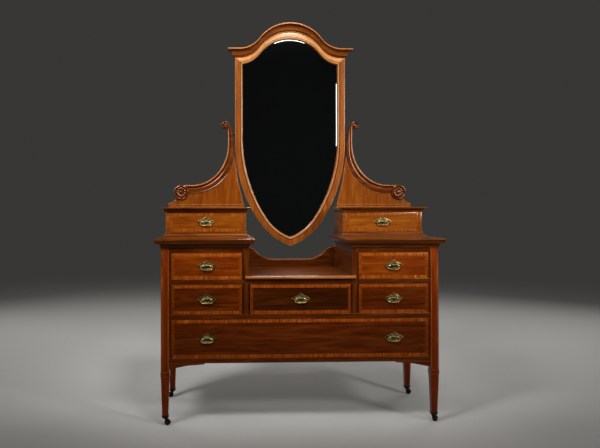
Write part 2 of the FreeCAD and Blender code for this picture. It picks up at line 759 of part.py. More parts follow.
def make_supports():
    """Shaped panel on each jewel box, and the carved scroll over it with its volute and patera."""
    tail = mm("scroll_tail_place")
    spring = mm("scroll_spring_level")
    low = mm("scroll_low")
    high = mm("scroll_high")
    centre = upright(tail, spring)
    patera_place = mm("patera_place")
    volute = upright(mm("volute_place"), mm("volute_level"))
    inner_end = volute - Vector(mm("volute_radius"), 0, 0)
    outer_end = upright((mm("neck_outer") + volute.x) / 2, volute.z - mm("volute_radius"))
    neck_inner = upright(mm("neck_inner"), spring)
    neck_outer = upright(mm("neck_outer"), spring)
    belly = mm("scroll_inner_level")
    outline = [quarter_oval(centre, tail - neck_outer.x, spring - high), bowed(neck_outer, outer_end),
               line(outer_end, volute), line(volute, inner_end), bowed(neck_inner, inner_end),
               line(upright(neck_inner.x, belly), neck_inner),
               quarter_oval(upright(tail, belly), tail - neck_inner.x, belly - low),
               line(upright(tail, low), upright(patera_place, low)),
               line(upright(patera_place, low), upright(patera_place, high)),
               line(upright(patera_place, high), upright(tail, high))]
    band = solid("scroll_band", slab(Part.__sortEdges__(outline), mm("scroll_thickness")),
                 ("0", "pivot_depth - scroll_thickness / 2", "0"))
    curl = rod("volute", "volute_radius", "volute_thickness",
               ("volute_place", "pivot_depth - volute_thickness / 2", "volute_level"), DEPTH_WISE)
    disc = rod("patera_disc", "patera_radius", "scroll_thickness",
               ("patera_place", "pivot_depth - scroll_thickness / 2", "patera_level"), DEPTH_WISE)
    ring = doc.addObject("Part::Torus", "patera_rim")
    ring.Placement = Placement(Vector(), DEPTH_WISE)
    bind(ring, "Radius1", "patera_radius - patera_ring")
    bind(ring, "Radius2", "patera_ring")
    put(ring, "patera_place", "pivot_depth - scroll_thickness / 2", "patera_level")
    boss = doc.addObject("Part::Sphere", "patera_centre")
    bind(boss, "Radius", "patera_boss")
    put(boss, "patera_place", "pivot_depth - scroll_thickness / 2 + patera_ring", "patera_level")
    carved = fused("scroll_blank", [band, curl, disc, ring, boss])
    bore = rod("scroll_bore", "pin_radius + pin_clearance", "volute_offset",
               ("neck_inner - scroll_gap", "pivot_depth", "pivot_level"), WIDTH_WISE)
    scroll = cut("scroll", carved, bore)

    floor = mm("jewel_upper")
    foot_inner = upright(neck_inner.x - mm("support_foot_inset"), floor)
    foot_outer = upright(mm("jewel_outer") + mm("support_foot_overhang"), floor)
    flare = upright(foot_outer.x, floor + mm("support_flare_height"))
    knee = upright(neck_inner.x - mm("support_knee_inset"), floor + mm("support_knee_height"))
    crest = upright((neck_inner.x + neck_outer.x) / 2, spring)
    head = upright(patera_place, (low + high) / 2)
    shin = (knee + crest) / 2 - upright(mm("support_shin_bow"), 0)
    heel = upright(patera_place + mm("support_heel_out"), mm("patera_level") - mm("support_heel_out"))
    hollow = (heel + flare) / 2 - upright(mm("support_hollow"), mm("support_hollow"))
    edges = [line(foot_outer, foot_inner), line(foot_inner, knee), arc(knee, shin, crest),
             quarter_oval(centre, tail - crest.x, spring - (low + high) / 2),
             line(upright(tail, (low + high) / 2), head), line(head, heel), arc(heel, hollow, flare),
             line(flare, foot_outer)]
    blank = solid("support_blank", slab(Part.__sortEdges__(edges), mm("support_thickness")),
                  ("0", "pivot_depth - support_thickness / 2", "0"))
    node("mirror_supports", pair(cut("support", blank, carved)))
    node("support_scrolls", pair(scroll))


def plate_shape():
    """Brass back plate: hollow-sided lozenge with tips and a crest, a raised oval ring, two bored posts."""
    half, crest, drop = mm("plate_half"), mm("plate_crest"), mm("plate_drop")
    out, up = mm("plate_shoulder_out"), mm("plate_shoulder_up")
    thick = mm("plate_thickness")
    tip = upright(half, 0)
    shoulder = upright(out, up)
    hip = upright(out, -up)
    brow = upright(mm("plate_brow_out"), (up + crest) / 2)
    base = upright(0, -drop)
    above = upright(mm("plate_hollow"), mm("plate_hollow"))
    below = upright(mm("plate_hollow"), -mm("plate_hollow"))
    side = [arc(tip, (tip + shoulder) / 2 - above, shoulder),
            arc(shoulder, (shoulder + brow) / 2 + above, brow),
            line(brow, upright(0, crest)),
            arc(tip, (tip + hip) / 2 - below, hip),
            arc(hip, (hip + base) / 2 + below, base)]
    other = [edge.mirror(Vector(), Vector(1, 0, 0)) for edge in side]
    flat = slab(Part.__sortEdges__(side + other), -thick)
    def oval(grow):
        side_end = upright(mm("ring_half") + grow, 0)
        top_end = upright(0, mm("ring_rise") + grow)
        wire = Part.Wire(Part.Ellipse(side_end, top_end, Vector()).toShape())
        return Part.Face(wire).extrude(Vector(0, -thick - mm("ring_height"), 0))
    shape = flat.fuse(oval(0).cut(oval(-mm("ring_band"))))
    forward = Vector(0, -1, 0)
    for sign in (1, -1):
        foot = Vector(sign * mm("post_spread"), 0, 0)
        post = Part.makeCylinder(mm("post_radius"), mm("post_length"), foot, forward)
        shape = shape.fuse(post)
    start = Vector(-mm("bail_reach"), -mm("bail_axis"), 0)
    bore = Part.makeCylinder(mm("bail_hole"), 2 * mm("bail_reach"), start, Vector(1, 0, 0))
    return shape.cut(bore).removeSplitter()


def bail_shape():
    """Bent brass wire: a pin in each post, an elbow, a tight corner, and one wide arc underneath."""
    reach, elbow, corner = mm("bail_reach"), mm("bail_elbow"), mm("bail_corner")
    wire = mm("bail_wire") / 2
    start = reach - elbow - mm("bail_pin")
    hub = upright(reach - corner, -elbow)
    sag = mm("bail_drop") - wire
    wide = (hub.x ** 2 + (sag + hub.z) ** 2 - corner ** 2) / (2 * (sag + hub.z - corner))
    middle = upright(0, wide - sag)
    turn = math.atan2(middle.z - hub.z, -hub.x)
    joint = hub - Vector(math.cos(turn), 0, math.sin(turn)) * corner
    half_turn = turn / 2
    bend = upright(reach - elbow, 0)
    outside = upright(reach, -elbow)
    elbow_middle = bend + upright(math.sin(math.pi / 4), math.cos(math.pi / 4) - 1) * elbow
    corner_middle = hub + upright(math.cos(half_turn), -math.sin(half_turn)) * corner
    side = [line(upright(start, 0), bend), arc(bend, elbow_middle, outside),
            arc(outside, corner_middle, joint)]
    other = [edge.mirror(Vector(), Vector(1, 0, 0)) for edge in side]
    under = arc(joint, upright(0, -sag), upright(-joint.x, joint.z))
    path = Part.Wire(Part.__sortEdges__(side + [under] + other))
    first = path.OrderedVertexes[0].Point
    section = Part.Wire(Part.makeCircle(wire, first, Vector(1, 0, 0)))
    return path.makePipeShell([section], True, False)


def make_handle(name, x, y, z):
    """Plate and bail of one handle, on a drawer front."""
    plate = solid(f"{name}_handle_plate", plate_shape(), (x, y, z))
    bail = solid(f"{name}_handle_bail", bail_shape(), (x, f"{y} - bail_axis", z))
    return plate, bail


def make_drawer(name, sides, levels, face, end, handle_at, locked=False):
    """Drawer in an opening: its front, the box behind it, the brass on it and its bails."""
    left, right = sides
    low = f"{levels[0]} + runner_clearance"
    high = f"{levels[1]} - gap_over_drawer"
    middle = f"({levels[0]} + {levels[1]}) / 2"
    inside = f"{face} + drawer_front"
    front = board(f"{name}_front_board", (left, right), (face, inside), (low, high))
    brass = []
    bails = []
    for side, place in handle_at:
        plate, bail = make_handle(f"{name}{side}", place, face, middle)
        brass.append(plate)
        bails.append(bail)
    if locked:
        centre = handle_at[0][1]
        key = f"{middle} + keyhole_height"
        hole = rod(f"{name}_keyhole", "keyhole_radius", "drawer_front", (centre, face, key), DEPTH_WISE)
        slot = board(f"{name}_key_slot",
                     (f"{centre} - keyhole_slot_width / 2", f"{centre} + keyhole_slot_width / 2"),
                     (face, inside), (f"{key} - keyhole_slot", key))
        front = cut(f"{name}_bored_front", front, fused(f"{name}_key_cut", [hole, slot]))
        brass.append(board(f"{name}_lock", (f"{centre} - lock_width / 2", f"{centre} + lock_width / 2"),
                           (inside, f"{inside} + lock_thickness"),
                           (f"{high} - drawer_side_drop - lock_height", f"{high} - drawer_side_drop")))
    walls = (low, f"{high} - drawer_side_drop")
    between = (f"{left} + drawer_side", f"{right} - drawer_side")
    box = [board(f"{name}_left_wall", (left, f"{left} + drawer_side"), (inside, end), walls),
           board(f"{name}_right_wall", (f"{right} - drawer_side", right), (inside, end), walls),
           board(f"{name}_back_wall", between, (f"{end} - drawer_back", end), walls),
           board(f"{name}_floor", between, (inside, f"{end} - drawer_back"),
                 (f"{levels[0]} + drawer_base_lift", f"{levels[0]} + drawer_base_lift + drawer_base"))]
    return front, box, brass, bails


def make_drawers():
    """The eight drawers with their handles."""
    sides = ("inner_edge", "outer_edge")
    jewel_sides = ("jewel_edge_inner", "jewel_edge_outer")
    tiers = [("upper", sides, ("upper_bottom", "upper_top"), "face", "drawer_end", "handle_place", True),
             ("middle", sides, ("middle_bottom", "middle_top"), "face", "drawer_end", "handle_place", False),
             ("jewel", jewel_sides, ("jewel_bottom", "jewel_top"), "jewel_face", "jewel_drawer_end",
              "(jewel_edge_inner + jewel_edge_outer) / 2", False)]
    for name, sides, levels, face, end, place, locked in tiers:
        front, box, brass, bails = make_drawer(name, sides, levels, face, end, [("", place)], locked)
        groups = (("front", [front]), ("box", box), ("plate", brass), ("bail", bails))
        for part, pieces in groups:
            node(f"{name}_left_{part}", [flipped(piece) for piece in pieces])
            node(f"{name}_right_{part}", pieces)
    sides = ("-centre_edge", "centre_edge")
    levels = ("middle_bottom", "middle_top")
    front, box, brass, bails = make_drawer("centre", sides, levels, "face", "drawer_end", [("", "0")])
    for part, pieces in (("front", [front]), ("box", box), ("plate", brass), ("bail", bails)):
        node(f"middle_centre_{part}", pieces)
    sides = ("-outer_edge", "outer_edge")
    levels = ("long_bottom", "long_top")
    handle_at = [("_left", "-handle_place"), ("_right", "handle_place")]
    front, box, brass, bails = make_drawer("long", sides, levels, "face", "drawer_end", handle_at)
    for part, pieces in (("front", [front]), ("box", box), ("plates", brass)):
        node(f"long_{part}", pieces)
    for (side, _), bail in zip(handle_at, bails):
        node(f"long{side}_bail", [bail])


def make_castors():
    """Brass cup on each leg, and under it a swivelling horn with a wheel on its axle."""
    sockets = []
    fore = "leg_centre_front"
    rear = f"2 * middle_depth - {fore}"
    corners = (("front_left", "-leg_centre", fore), ("front_right", "leg_centre", fore),
               ("back_left", "-leg_centre", rear), ("back_right", "leg_centre", rear))
    for name, x, y in corners:
        sockets.append(make_socket(name, x, y))
        angle = f"({name}_turn * 1 deg)"
        turn = Rotation(Vector(0, 0, 1), mm(f"{name}_turn"))
        node(f"{name}_castor_horn", [make_horn(name, x, y, turn)])
        wheel = make_wheel(name)
        wheel.Placement = Placement(Vector(), turn)
        put(wheel, f"{x} - castor_trail * sin{angle}", f"{y} + castor_trail * cos{angle}", "wheel_radius")
        node(f"{name}_castor_wheel", [wheel])
    node("castor_sockets", sockets)


def make_socket(name, x, y):
    """Square cup round the leg's toe, its floor bored for the stem."""
    inner = "leg_toe / 2 + socket_clearance"
    outer = f"{inner} + socket_wall"
    def square(half):
        return (f"{x} - ({half})", f"{x} + {half}"), (f"{y} - ({half})", f"{y} + {half}")
    cup = board(f"{name}_cup", *square(outer), ("leg_foot - socket_floor", "leg_foot + socket_cup"))
    hollow = board(f"{name}_cup_hollow", *square(inner), ("leg_foot", "leg_foot + 2 * socket_cup"))
    bore = rod(f"{name}_cup_bore", "stem_radius + axle_clearance", "2 * socket_floor",
               (x, y, "leg_foot - 3 * socket_floor / 2"))
    return cut(f"{name}_socket", cup, fused(f"{name}_cup_cuts", [hollow, bore]))


def make_horn(name, x, y, turn):
    """Disc with a stem, two cheeks that reach back to the axle, and the axle riveted in them."""
    inside = "wheel_width / 2 + wheel_side_gap"
    disc = rod(f"{name}_disc", "horn_disc_radius", "horn_disc_height", ("0", "0", "horn_under"))
    stem = rod(f"{name}_stem", "stem_radius", "stem_length", ("0", "0", "horn_top"))
    axle = rod(f"{name}_axle", "axle_radius", f"2 * ({inside} + horn_cheek)",
               (f"-({inside}) - horn_cheek", "castor_trail", "wheel_radius"), WIDTH_WISE)
    cheeks = []
    for side, start in (("left", f"-({inside}) - horn_cheek"), ("right", inside)):
        body = doc.addObject("PartDesign::Body", f"{name}_{side}_cheek")
        corners = [("-horn_disc_radius / 2", "horn_top - horn_disc_height / 2"),
                   ("castor_trail - horn_eye", "wheel_radius - horn_eye / 2"),
                   ("castor_trail - horn_eye / 2", "wheel_radius - horn_eye"),
                   ("castor_trail + horn_eye / 2", "wheel_radius - horn_eye"),
                   ("castor_trail + horn_eye", "wheel_radius - horn_eye / 2"),
                   ("castor_trail + horn_eye", "wheel_radius + horn_eye / 2"),
                   ("horn_disc_radius / 2", "horn_top - horn_disc_height / 2")]
        outline = sketched(body, f"{name}_{side}_cheek_outline", "YZ_Plane", corners)
        padded(body, f"{name}_{side}_cheek_pad", outline, "horn_cheek")
        cheeks.append(put(body, x=start))
    horn = fused(f"{name}_horn", [disc, stem, axle] + cheeks)
    horn.Placement = Placement(Vector(), turn)
    return put(horn, x, y)


def make_wheel(name):
    """Turned wheel with bevelled rims and a bore for the axle."""
    body = doc.addObject("PartDesign::Body", f"{name}_wheel")
    half = "wheel_width / 2"
    bore = "axle_radius + axle_clearance"
    rim = "wheel_radius - wheel_edge / 2"
    corners = [(f"-{half}", bore), (half, bore), (half, rim), (f"{half} - wheel_edge", "wheel_radius"),
               (f"wheel_edge - {half}", "wheel_radius"), (f"-{half}", rim)]
    profile = sketched(body, f"{name}_wheel_profile", "XZ_Plane", corners)
    turned = body.newObject("PartDesign::Revolution", f"{name}_wheel_turned")
    turned.Profile = profile
    turned.ReferenceAxis = (profile, ["H_Axis"])
    turned.Angle = 360
    return body


make_legs()
make_carcass()
make_tops()
make_jewel_boxes()
make_mirror()
make_supports()
make_drawers()
make_castors()
doc.recompute()

for item in doc.Objects:
    if "Invalid" in item.State or "Error" in item.State:
        raise RuntimeError(f"{item.Name} failed: {item.State}")
for group in nodes:
    if group.Shape.isNull() or not group.Shape.isValid() or not group.Shape.Solids:
        raise RuntimeError(f"{group.Label} has no valid shape")
os.makedirs("parts", exist_ok=True)
for group in nodes:
    group.Shape.exportStep(f"parts/{group.Label}.step")
print(len(nodes), "sub-parts,", sum(len(group.Shape.Solids) for group in nodes), "solids")
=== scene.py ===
import json
import math

import bmesh
import bpy
from mathutils import Matrix, Vector

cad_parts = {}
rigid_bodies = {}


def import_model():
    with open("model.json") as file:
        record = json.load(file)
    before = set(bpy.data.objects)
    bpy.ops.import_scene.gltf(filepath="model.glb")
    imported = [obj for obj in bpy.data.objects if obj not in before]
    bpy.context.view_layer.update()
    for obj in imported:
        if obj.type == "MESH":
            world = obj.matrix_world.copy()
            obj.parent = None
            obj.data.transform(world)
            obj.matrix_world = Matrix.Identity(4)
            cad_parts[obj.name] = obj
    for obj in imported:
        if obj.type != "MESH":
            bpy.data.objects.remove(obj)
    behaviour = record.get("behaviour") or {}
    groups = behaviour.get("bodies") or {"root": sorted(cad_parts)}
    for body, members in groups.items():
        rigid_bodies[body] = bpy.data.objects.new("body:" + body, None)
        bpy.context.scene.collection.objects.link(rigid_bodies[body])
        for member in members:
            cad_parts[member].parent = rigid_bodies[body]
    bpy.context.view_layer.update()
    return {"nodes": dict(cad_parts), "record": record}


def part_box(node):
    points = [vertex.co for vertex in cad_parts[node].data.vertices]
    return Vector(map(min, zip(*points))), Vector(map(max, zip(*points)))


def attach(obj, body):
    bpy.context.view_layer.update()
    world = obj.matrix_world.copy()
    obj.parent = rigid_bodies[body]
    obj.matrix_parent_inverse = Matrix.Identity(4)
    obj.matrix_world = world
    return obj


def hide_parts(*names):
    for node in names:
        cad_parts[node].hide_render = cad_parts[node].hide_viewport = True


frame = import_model()

# The table in millimetres: X to the right, Y to the back, Z up, on the floor.
MM = 0.001
FACE = -234
JEWEL_FACE = 19
BAND_WIDTH = 13.5
DRAWERS = ("upper_left", "upper_right", "middle_left", "middle_centre", "middle_right",
           "jewel_left", "jewel_right", "long")
CORNERS = ("front_left", "front_right", "back_left", "back_right")

# Levels and half widths of the mirror's two shields: the outside of the frame and its sight edge.
OUTER = {"half": 265, "spring": 1213, "tip": 720, "apex": 1750}
SIGHT = {"half": 229, "spring": 1238, "tip": 764, "apex": 1717}
TIP_ANGLE, HIP_ANGLE = math.radians(20), math.radians(57)
HEAD_RUN = 246
HEAD_RISE = 123
FOOT_RADIUS = 123
CROWN_RADIUS = 184.5
CORNICE_APEX = 1790
FRAME_BACK = 248
FRAME_FRONT = 222

# The scroll over each support: its ellipses, neck, volute and patera.
TAIL_X = 470
SPRING_Z = 1215
BELLY_Z = 1170
AWAY_RUN, AWAY_FALL = 172, 201
PANEL_RUN, PANEL_FALL = 199, 195
VOLUTE = Vector((313, 1300))
VOLUTE_RADIUS, VOLUTE_BAND = 23, 10
VOLUTE_TURN, VOLUTE_SHRINK, BAND_SHRINK = 2.5 * math.pi, 12.5, 5
PATERA = Vector((523, 979))
PATERA_RADIUS = 36
SCROLL_BACK = 252

bodies = frame["record"]["behaviour"]["bodies"]
body_of = {node: body for body, nodes in bodies.items() for node in nodes}


# Finishes

def linear(code):
    """Linear colour of an sRGB hex value."""
    parts = [int(code[place:place + 2], 16) / 255 for place in (1, 3, 5)]
    return tuple(p / 12.92 if p <= 0.04045 else ((p + 0.055) / 1.055) ** 2.4 for p in parts) + (1.0,)


def add(tree, kind, inputs=None, stops=None, **settings):
    """Adds a node with its settings, its values and the links that come into it."""
    node = tree.nodes.new(kind)
    for name, value in settings.items():
        setattr(node, name, value)
    for name, value in (inputs or {}).items():
        if isinstance(value, bpy.types.NodeSocket):
            tree.links.new(value, node.inputs[name])
        else:
            node.inputs[name].default_value = value
    if stops:
        ramp = node.color_ramp.elements
        while len(ramp) < len(stops):
            ramp.new(1.0)
        for element, (position, colour) in zip(ramp, stops):
            element.position = position
            element.color = linear(colour)
    return node


def bare_material(name):
    """A new material, its empty node tree, and the place on the piece that its patterns read."""
    material = bpy.data.materials.new(name)
    material.use_nodes = True
    tree = material.node_tree
    tree.nodes.clear()
    return material, tree, add(tree, "ShaderNodeTexCoord").outputs["Object"]


FIBRE_RUN = 45
PORE_WIDTH, PORE_LENGTH = 1.4, 26


def timber(name, grain, colours, figure=34, run=9, fibre=2.4, gloss=0.28, coat=0.12, spread=0.2, pitted=0.55,
           shellac="#ffb070"):
    """Sawn and polished wood: ribbons of tone, fibres and pores along one axis, sizes in millimetres.

    The real pores are a third of a millimetre wide; they are drawn four times as coarse, to show.
    Shellac turns the light that it throws back amber.
    """
    material, tree, spot = bare_material(name)

    def stretched(across, length):
        scale = [1 / (across * MM)] * 3
        scale["XYZ".index(grain)] = 1 / (length * MM)
        return add(tree, "ShaderNodeMapping", {"Vector": spot, "Scale": scale}).outputs[0]

    ribbon = add(tree, "ShaderNodeTexNoise", {"Vector": stretched(figure, figure * run), "Scale": 1.0,
                                              "Detail": 3.0, "Roughness": 0.55, "Distortion": 0.7})
    fibres = add(tree, "ShaderNodeTexNoise", {"Vector": stretched(fibre, fibre * FIBRE_RUN), "Scale": 1.0,
                                              "Detail": 2.0, "Roughness": 0.6})
    pores = add(tree, "ShaderNodeTexNoise", {"Vector": stretched(PORE_WIDTH, PORE_LENGTH), "Scale": 1.0,
                                             "Detail": 1.0})
    mixed = add(tree, "ShaderNodeMix", {0: 0.42, 2: ribbon.outputs[0], 3: fibres.outputs[0]},
                data_type="FLOAT")
    dark, middle, light = colours
    tone = add(tree, "ShaderNodeValToRGB", {0: mixed.outputs[0]},
               [(0.5 - spread, dark), (0.5, middle), (0.5 + spread, light)])
    pits = add(tree, "ShaderNodeMapRange", {"Value": pores.outputs[0], "From Min": 0.58, "From Max": 0.7,
                                            "To Max": pitted})
    colour = add(tree, "ShaderNodeMix", {0: pits.outputs[0], 6: tone.outputs[0], 7: linear(dark)},
                 data_type="RGBA")
    rough = add(tree, "ShaderNodeMapRange", {"Value": mixed.outputs[0], "From Min": 0.3, "From Max": 0.7,
                                             "To Min": gloss - 0.05, "To Max": gloss + 0.09})
    sunk = add(tree, "ShaderNodeMath", {0: fibres.outputs[0], 1: pits.outputs[0]}, operation="SUBTRACT")
    relief = add(tree, "ShaderNodeBump", {"Height": sunk.outputs[0], "Strength": 0.05, "Distance": 0.0004})
    shader = add(tree, "ShaderNodeBsdfPrincipled",
                 {"Base Color": colour.outputs[2], "Roughness": rough.outputs[0],
                  "Normal": relief.outputs[0], "Specular IOR Level": 0.35,
                  "Specular Tint": linear(shellac), "Coat Weight": coat, "Coat Roughness": 0.12})
    add(tree, "ShaderNodeOutputMaterial", {"Surface": shader.outputs[0]})
    return material


def cast_metal(name, base, tarnish, gloss, patch):
    """Cast and lacquered metal: patches of tarnish and a faintly uneven skin, sizes in millimetres."""
    material, tree, spot = bare_material(name)
    patches = add(tree, "ShaderNodeTexNoise", {"Vector": spot, "Scale": 1 / (patch * MM), "Detail": 4.0,
                                               "Roughness": 0.62})
    colour = add(tree, "ShaderNodeValToRGB", {0: patches.outputs[0]}, [(0.36, tarnish), (0.6, base)])
    rough = add(tree, "ShaderNodeMapRange", {"Value": patches.outputs[0], "From Min": 0.3, "From Max": 0.7,
                                             "To Min": gloss + 0.12, "To Max": gloss})
    skin = add(tree, "ShaderNodeTexNoise", {"Vector": spot, "Scale": 1 / (1.2 * MM), "Detail": 2.0})
    relief = add(tree, "ShaderNodeBump", {"Height": skin.outputs[0], "Strength": 0.12, "Distance": 0.0003})
    shader = add(tree, "ShaderNodeBsdfPrincipled",
                 {"Base Color": colour.outputs[0], "Metallic": 1.0, "Roughness": rough.outputs[0],
                  "Normal": relief.outputs[0]})
    add(tree, "ShaderNodeOutputMaterial", {"Surface": shader.outputs[0]})
    return material


def boards(name, colours, **rest):
    """One wood three times: with its grain along X, along Y and along Z."""
    return [timber(f"{name}_{axis.lower()}", axis, colours, **rest) for axis in "XYZ"]


def crossband(name, level, upright):
    """Narrow leaves laid across the run, for the level strips of a border and for the upright ones."""
    return [timber(f"{name}_{run}", grain, colours, figure=6.5, fibre=2.6)
            for run, grain, colours in (("level", "Z", level), ("upright", "X", upright))]


# Cuban mahogany, French polished: deep red-brown with lighter ribbons and a soft gloss.
mahogany = boards("french_polished_mahogany", ("#431202", "#692203", "#8d3d0a"))
# Polish rubbed thin on the arrises: paler, warm brown.
mahogany.append(timber("rubbed_mahogany_arris", "X", ("#6a2a0a", "#8c4412", "#aa622c"), figure=20))
# Moulded tops and shelf: the same wood, browned by age under thick polish.
moulded = boards("aged_mahogany", ("#341202", "#522303", "#703d0d"), figure=26, fibre=6, coat=0.2, pitted=0.1)
# Their arrises, rubbed to a pale brown; on the shelf's nosing, the gallery's edges and bead and the cornice's
# top edge the pale brown is a painted highlight.
moulded.append(timber("rubbed_arris_and_painted_highlight", "X", ("#6e3814", "#8e5426", "#aa7244"), figure=20))
# Jewel boxes: the same wood in a lighter, warm orange brown; the lighter tone is painted light falling from
# above.
jewel_wood = boards("painted_light_mahogany", ("#4c2004", "#6c3508", "#8a4d14"), figure=24) + moulded[3:]
# Rails and stiles in plainer, straight-grained mahogany: duller olive brown.
framing = boards("straight_mahogany", ("#2f1202", "#4a1d04", "#652f0a"), figure=16) + mahogany[3:]
# Gallery at the back of the well: the same again, darker; the dark tone is painted shade of the deep well.
gallery_wood = timber("shaded_mahogany", "X", ("#240c01", "#3a1603", "#502407"), figure=16)

# Veneer of the upper drawers: red-brown with fine level streaks.
veneer = timber("mahogany_veneer", "X", ("#471802", "#702b04", "#93490b"), figure=22)
# Veneer of the drawers below them: the same wood, darker; the darkening is painted shade of the lower
# drawers.
painted_shade_veneer = timber("painted_shade_mahogany_veneer", "X", ("#300e01", "#4c1a02", "#682f08"), figure=22)
# Veneer of the middle drawer under the well: the darkest; the darkening is painted shade of the well above
# it.
deepest_shade_veneer = timber("deepest_shade_mahogany_veneer", "X", ("#1e0800", "#341201", "#4a2206"), figure=22)
# Veneer of the jewel drawers: the same wood, lighter; the lighter tone is painted light falling from above.
jewel_veneer = timber("painted_light_mahogany_veneer", "X", ("#4e1f03", "#703607", "#8c5012"), figure=22)
# Kingwood crossbanding of the upper drawers: orange brown, with a tone that jumps from leaf to leaf.
bands = crossband("kingwood_crossband", ("#5e2203", "#8c3d09", "#c47c30"), ("#5a2103", "#763107", "#92490f"))
# The same on the lower drawers, redder and duller; the dulling is painted shade of the lower drawers.
shaded_low_bands = crossband("painted_shade_crossband", ("#521c02", "#7c3207", "#b46a26"), ("#4a1802", "#642604", "#7e3b0b"))
# The same on the jewel drawers, lighter until it hardly stands out from the field; the lighter tone is
# painted light from above.
jewel_bands = crossband("painted_light_crossband", ("#562305", "#783a0a", "#a2611e"),
                        ("#542204", "#713508", "#8c4e13"))

# Mirror frame: golden mahogany with upright grain and a low gloss.
golden = timber("golden_mahogany", "Z", ("#4a2005", "#67310b", "#824a15"), figure=14, gloss=0.4, coat=0.05)
# The head of the frame: satinwood laid across the curve, pale gold with a broad sheen.
satinwood = timber("satinwood_frieze", "Z", ("#7a4511", "#94591f", "#aa743a"), figure=30, fibre=5, gloss=0.34,
                   spread=0.3, pitted=0.1, shellac="#ffdcb8")
# The frame's outer arris, paler than its face: partly rubbed wear, partly a painted highlight along the edge.
pale_arris = timber("rubbed_frame_arris_painted_highlight", "Z", ("#5c2f11", "#74451e", "#8a5a2f"), figure=14)
# The slip round the glass and the thin lines of the supports: straw colour, nearly matt.
slip = timber("satinwood_slip", "Z", ("#6c472c", "#86623e", "#9e7a54"), figure=10, gloss=0.45, pitted=0.2)
# Support panels: fiddle-figured mahogany, light orange, upright.
figured = timber("figured_mahogany", "Z", ("#451a02", "#622d06", "#7c440b"), figure=26, run=6, fibre=5,
                 spread=0.28)
# Carved scrolls, with their paterae and rosettes: dark mahogany; the darkness is painted shade of the hollow
# carving.
painted_shade_carving = timber("painted_shade_carving_mahogany", "X", ("#2e1002", "#481c04", "#66340d"), figure=26, gloss=0.22,
                     coat=0.3)
# Cornice: the same wood, lighter; the lighter tone is painted light at the top of the mirror.
carved = timber("carved_mahogany", "X", ("#461b04", "#6a310b", "#8a4c19"), figure=26, gloss=0.26, coat=0.25)
# The lip of each scroll: a pale glossy brown, partly rubbed wear and partly a painted highlight along the
# lip.
carved_lip = timber("rubbed_carving_painted_highlight", "X", ("#6e3a16", "#8e542a", "#ae7a4e"), figure=20, gloss=0.2, coat=0.5)
# The groove of the cornice and the line scratched in the frame: near black, painted shade in the grooves.
shadow = timber("painted_shade_groove", "X", ("#1c0a03", "#2c1206", "#3c1c0a"), figure=20, gloss=0.35)
# Boxwood stringing, browned by old polish: dull straw, nearly without grain.
aged_boxwood = timber("aged_boxwood_stringing", "Z", ("#74441c", "#90592a", "#a8723c"), figure=10, pitted=0.2)
# Dark brown rosewood for the core of the collar banding.
rosewood = timber("rosewood_banding", "X", ("#2a1206", "#3e1d0a", "#542c10"), figure=8, gloss=0.3)
# Inside of the keyholes: near black, painted shade inside the hole.
keyhole_shade = timber("painted_shade_keyhole", "X", ("#120c08", "#1d130c", "#2b1d12"), figure=8, gloss=0.3)

# Quartered oak of the drawer linings: bare and dry, with open pores, a little paler on the arrises.
oak = boards("bare_oak", ("#8a6436", "#a8824e", "#c09d68"), figure=18, gloss=0.6, coat=0.0, pitted=0.8)
oak.append(timber("worn_oak_arris", "X", ("#a07c4a", "#b8945e", "#cdae7c"), figure=18, gloss=0.6, coat=0.0))
# Stained pine of the back: matt brown with broad soft bands, a little paler on the arrises.
pine = boards("stained_pine", ("#644522", "#835d32", "#a07a48"), figure=26, gloss=0.7, coat=0.0, pitted=0.2)
pine.append(timber("worn_pine_arris", "X", ("#7c5a30", "#98743f", "#b08e58"), figure=20, gloss=0.7, coat=0.0))

# Lacquered brass of the plates: greenish gold, dulled in patches.
brass = cast_metal("lacquered_brass", "#7e6d40", "#443a22", 0.3, 7)
# Posts, beads and bails, which fingers polish: bright pale gold.
worn_brass = cast_metal("rubbed_brass", "#d0b274", "#80683a", 0.24, 9)
# The boss behind the bail and the locks: brown brass that no finger reaches.
dull_brass = cast_metal("tarnished_brass", "#686240", "#36311e", 0.36, 6)
# Castors, pivots and the dish of each plate: brass nearly black; in the dish round each boss the black is
# painted shade.
black_brass = cast_metal("blackened_brass", "#3c3226", "#1a1512", 0.42, 8)
# The same where a castor rubs: dim brown gold.
worn_castor = cast_metal("worn_castor_brass", "#6a583a", "#3a2f20", 0.36, 6)
castor_brass = [black_brass] * 3 + [worn_castor]


def silvered_glass():
    """Silvered plate glass: a clear mirror with a trace of waviness from the old casting table."""
    material, tree, spot = bare_material("silvered_plate_glass")
    wave = add(tree, "ShaderNodeTexNoise", {"Vector": spot, "Scale": 1 / (180 * MM), "Detail": 1.0})
    relief = add(tree, "ShaderNodeBump", {"Height": wave.outputs[0], "Strength": 0.02, "Distance": 0.0002})
    haze = add(tree, "ShaderNodeMapRange", {"Value": wave.outputs[0], "To Min": 0.01, "To Max": 0.03})
    shader = add(tree, "ShaderNodeBsdfPrincipled",
                 {"Base Color": linear("#eef2ef"), "Metallic": 1.0, "Roughness": haze.outputs[0],
                  "Normal": relief.outputs[0]})
    add(tree, "ShaderNodeOutputMaterial", {"Surface": shader.outputs[0]})
    return material


mirror_silver = silvered_glass()


# Shapes

def put(name, data):
    """A new object of some data, at the origin of the scene."""
    made = bpy.data.objects.new(name, data)
    bpy.context.scene.collection.objects.link(made)
    return made


def as_mesh(shape, name="built"):
    """The mesh of a built shape, which is used up."""
    mesh = bpy.data.meshes.new(name)
    shape.to_mesh(mesh)
    shape.free()
    return mesh


def final_mesh(carrier):
    """The plain mesh that an object's curve or modifiers make; the object is used up."""
    graph = bpy.context.evaluated_depsgraph_get()
    mesh = bpy.data.meshes.new_from_object(carrier.evaluated_get(graph))
    bpy.data.batch_remove((carrier, carrier.data))
    return mesh


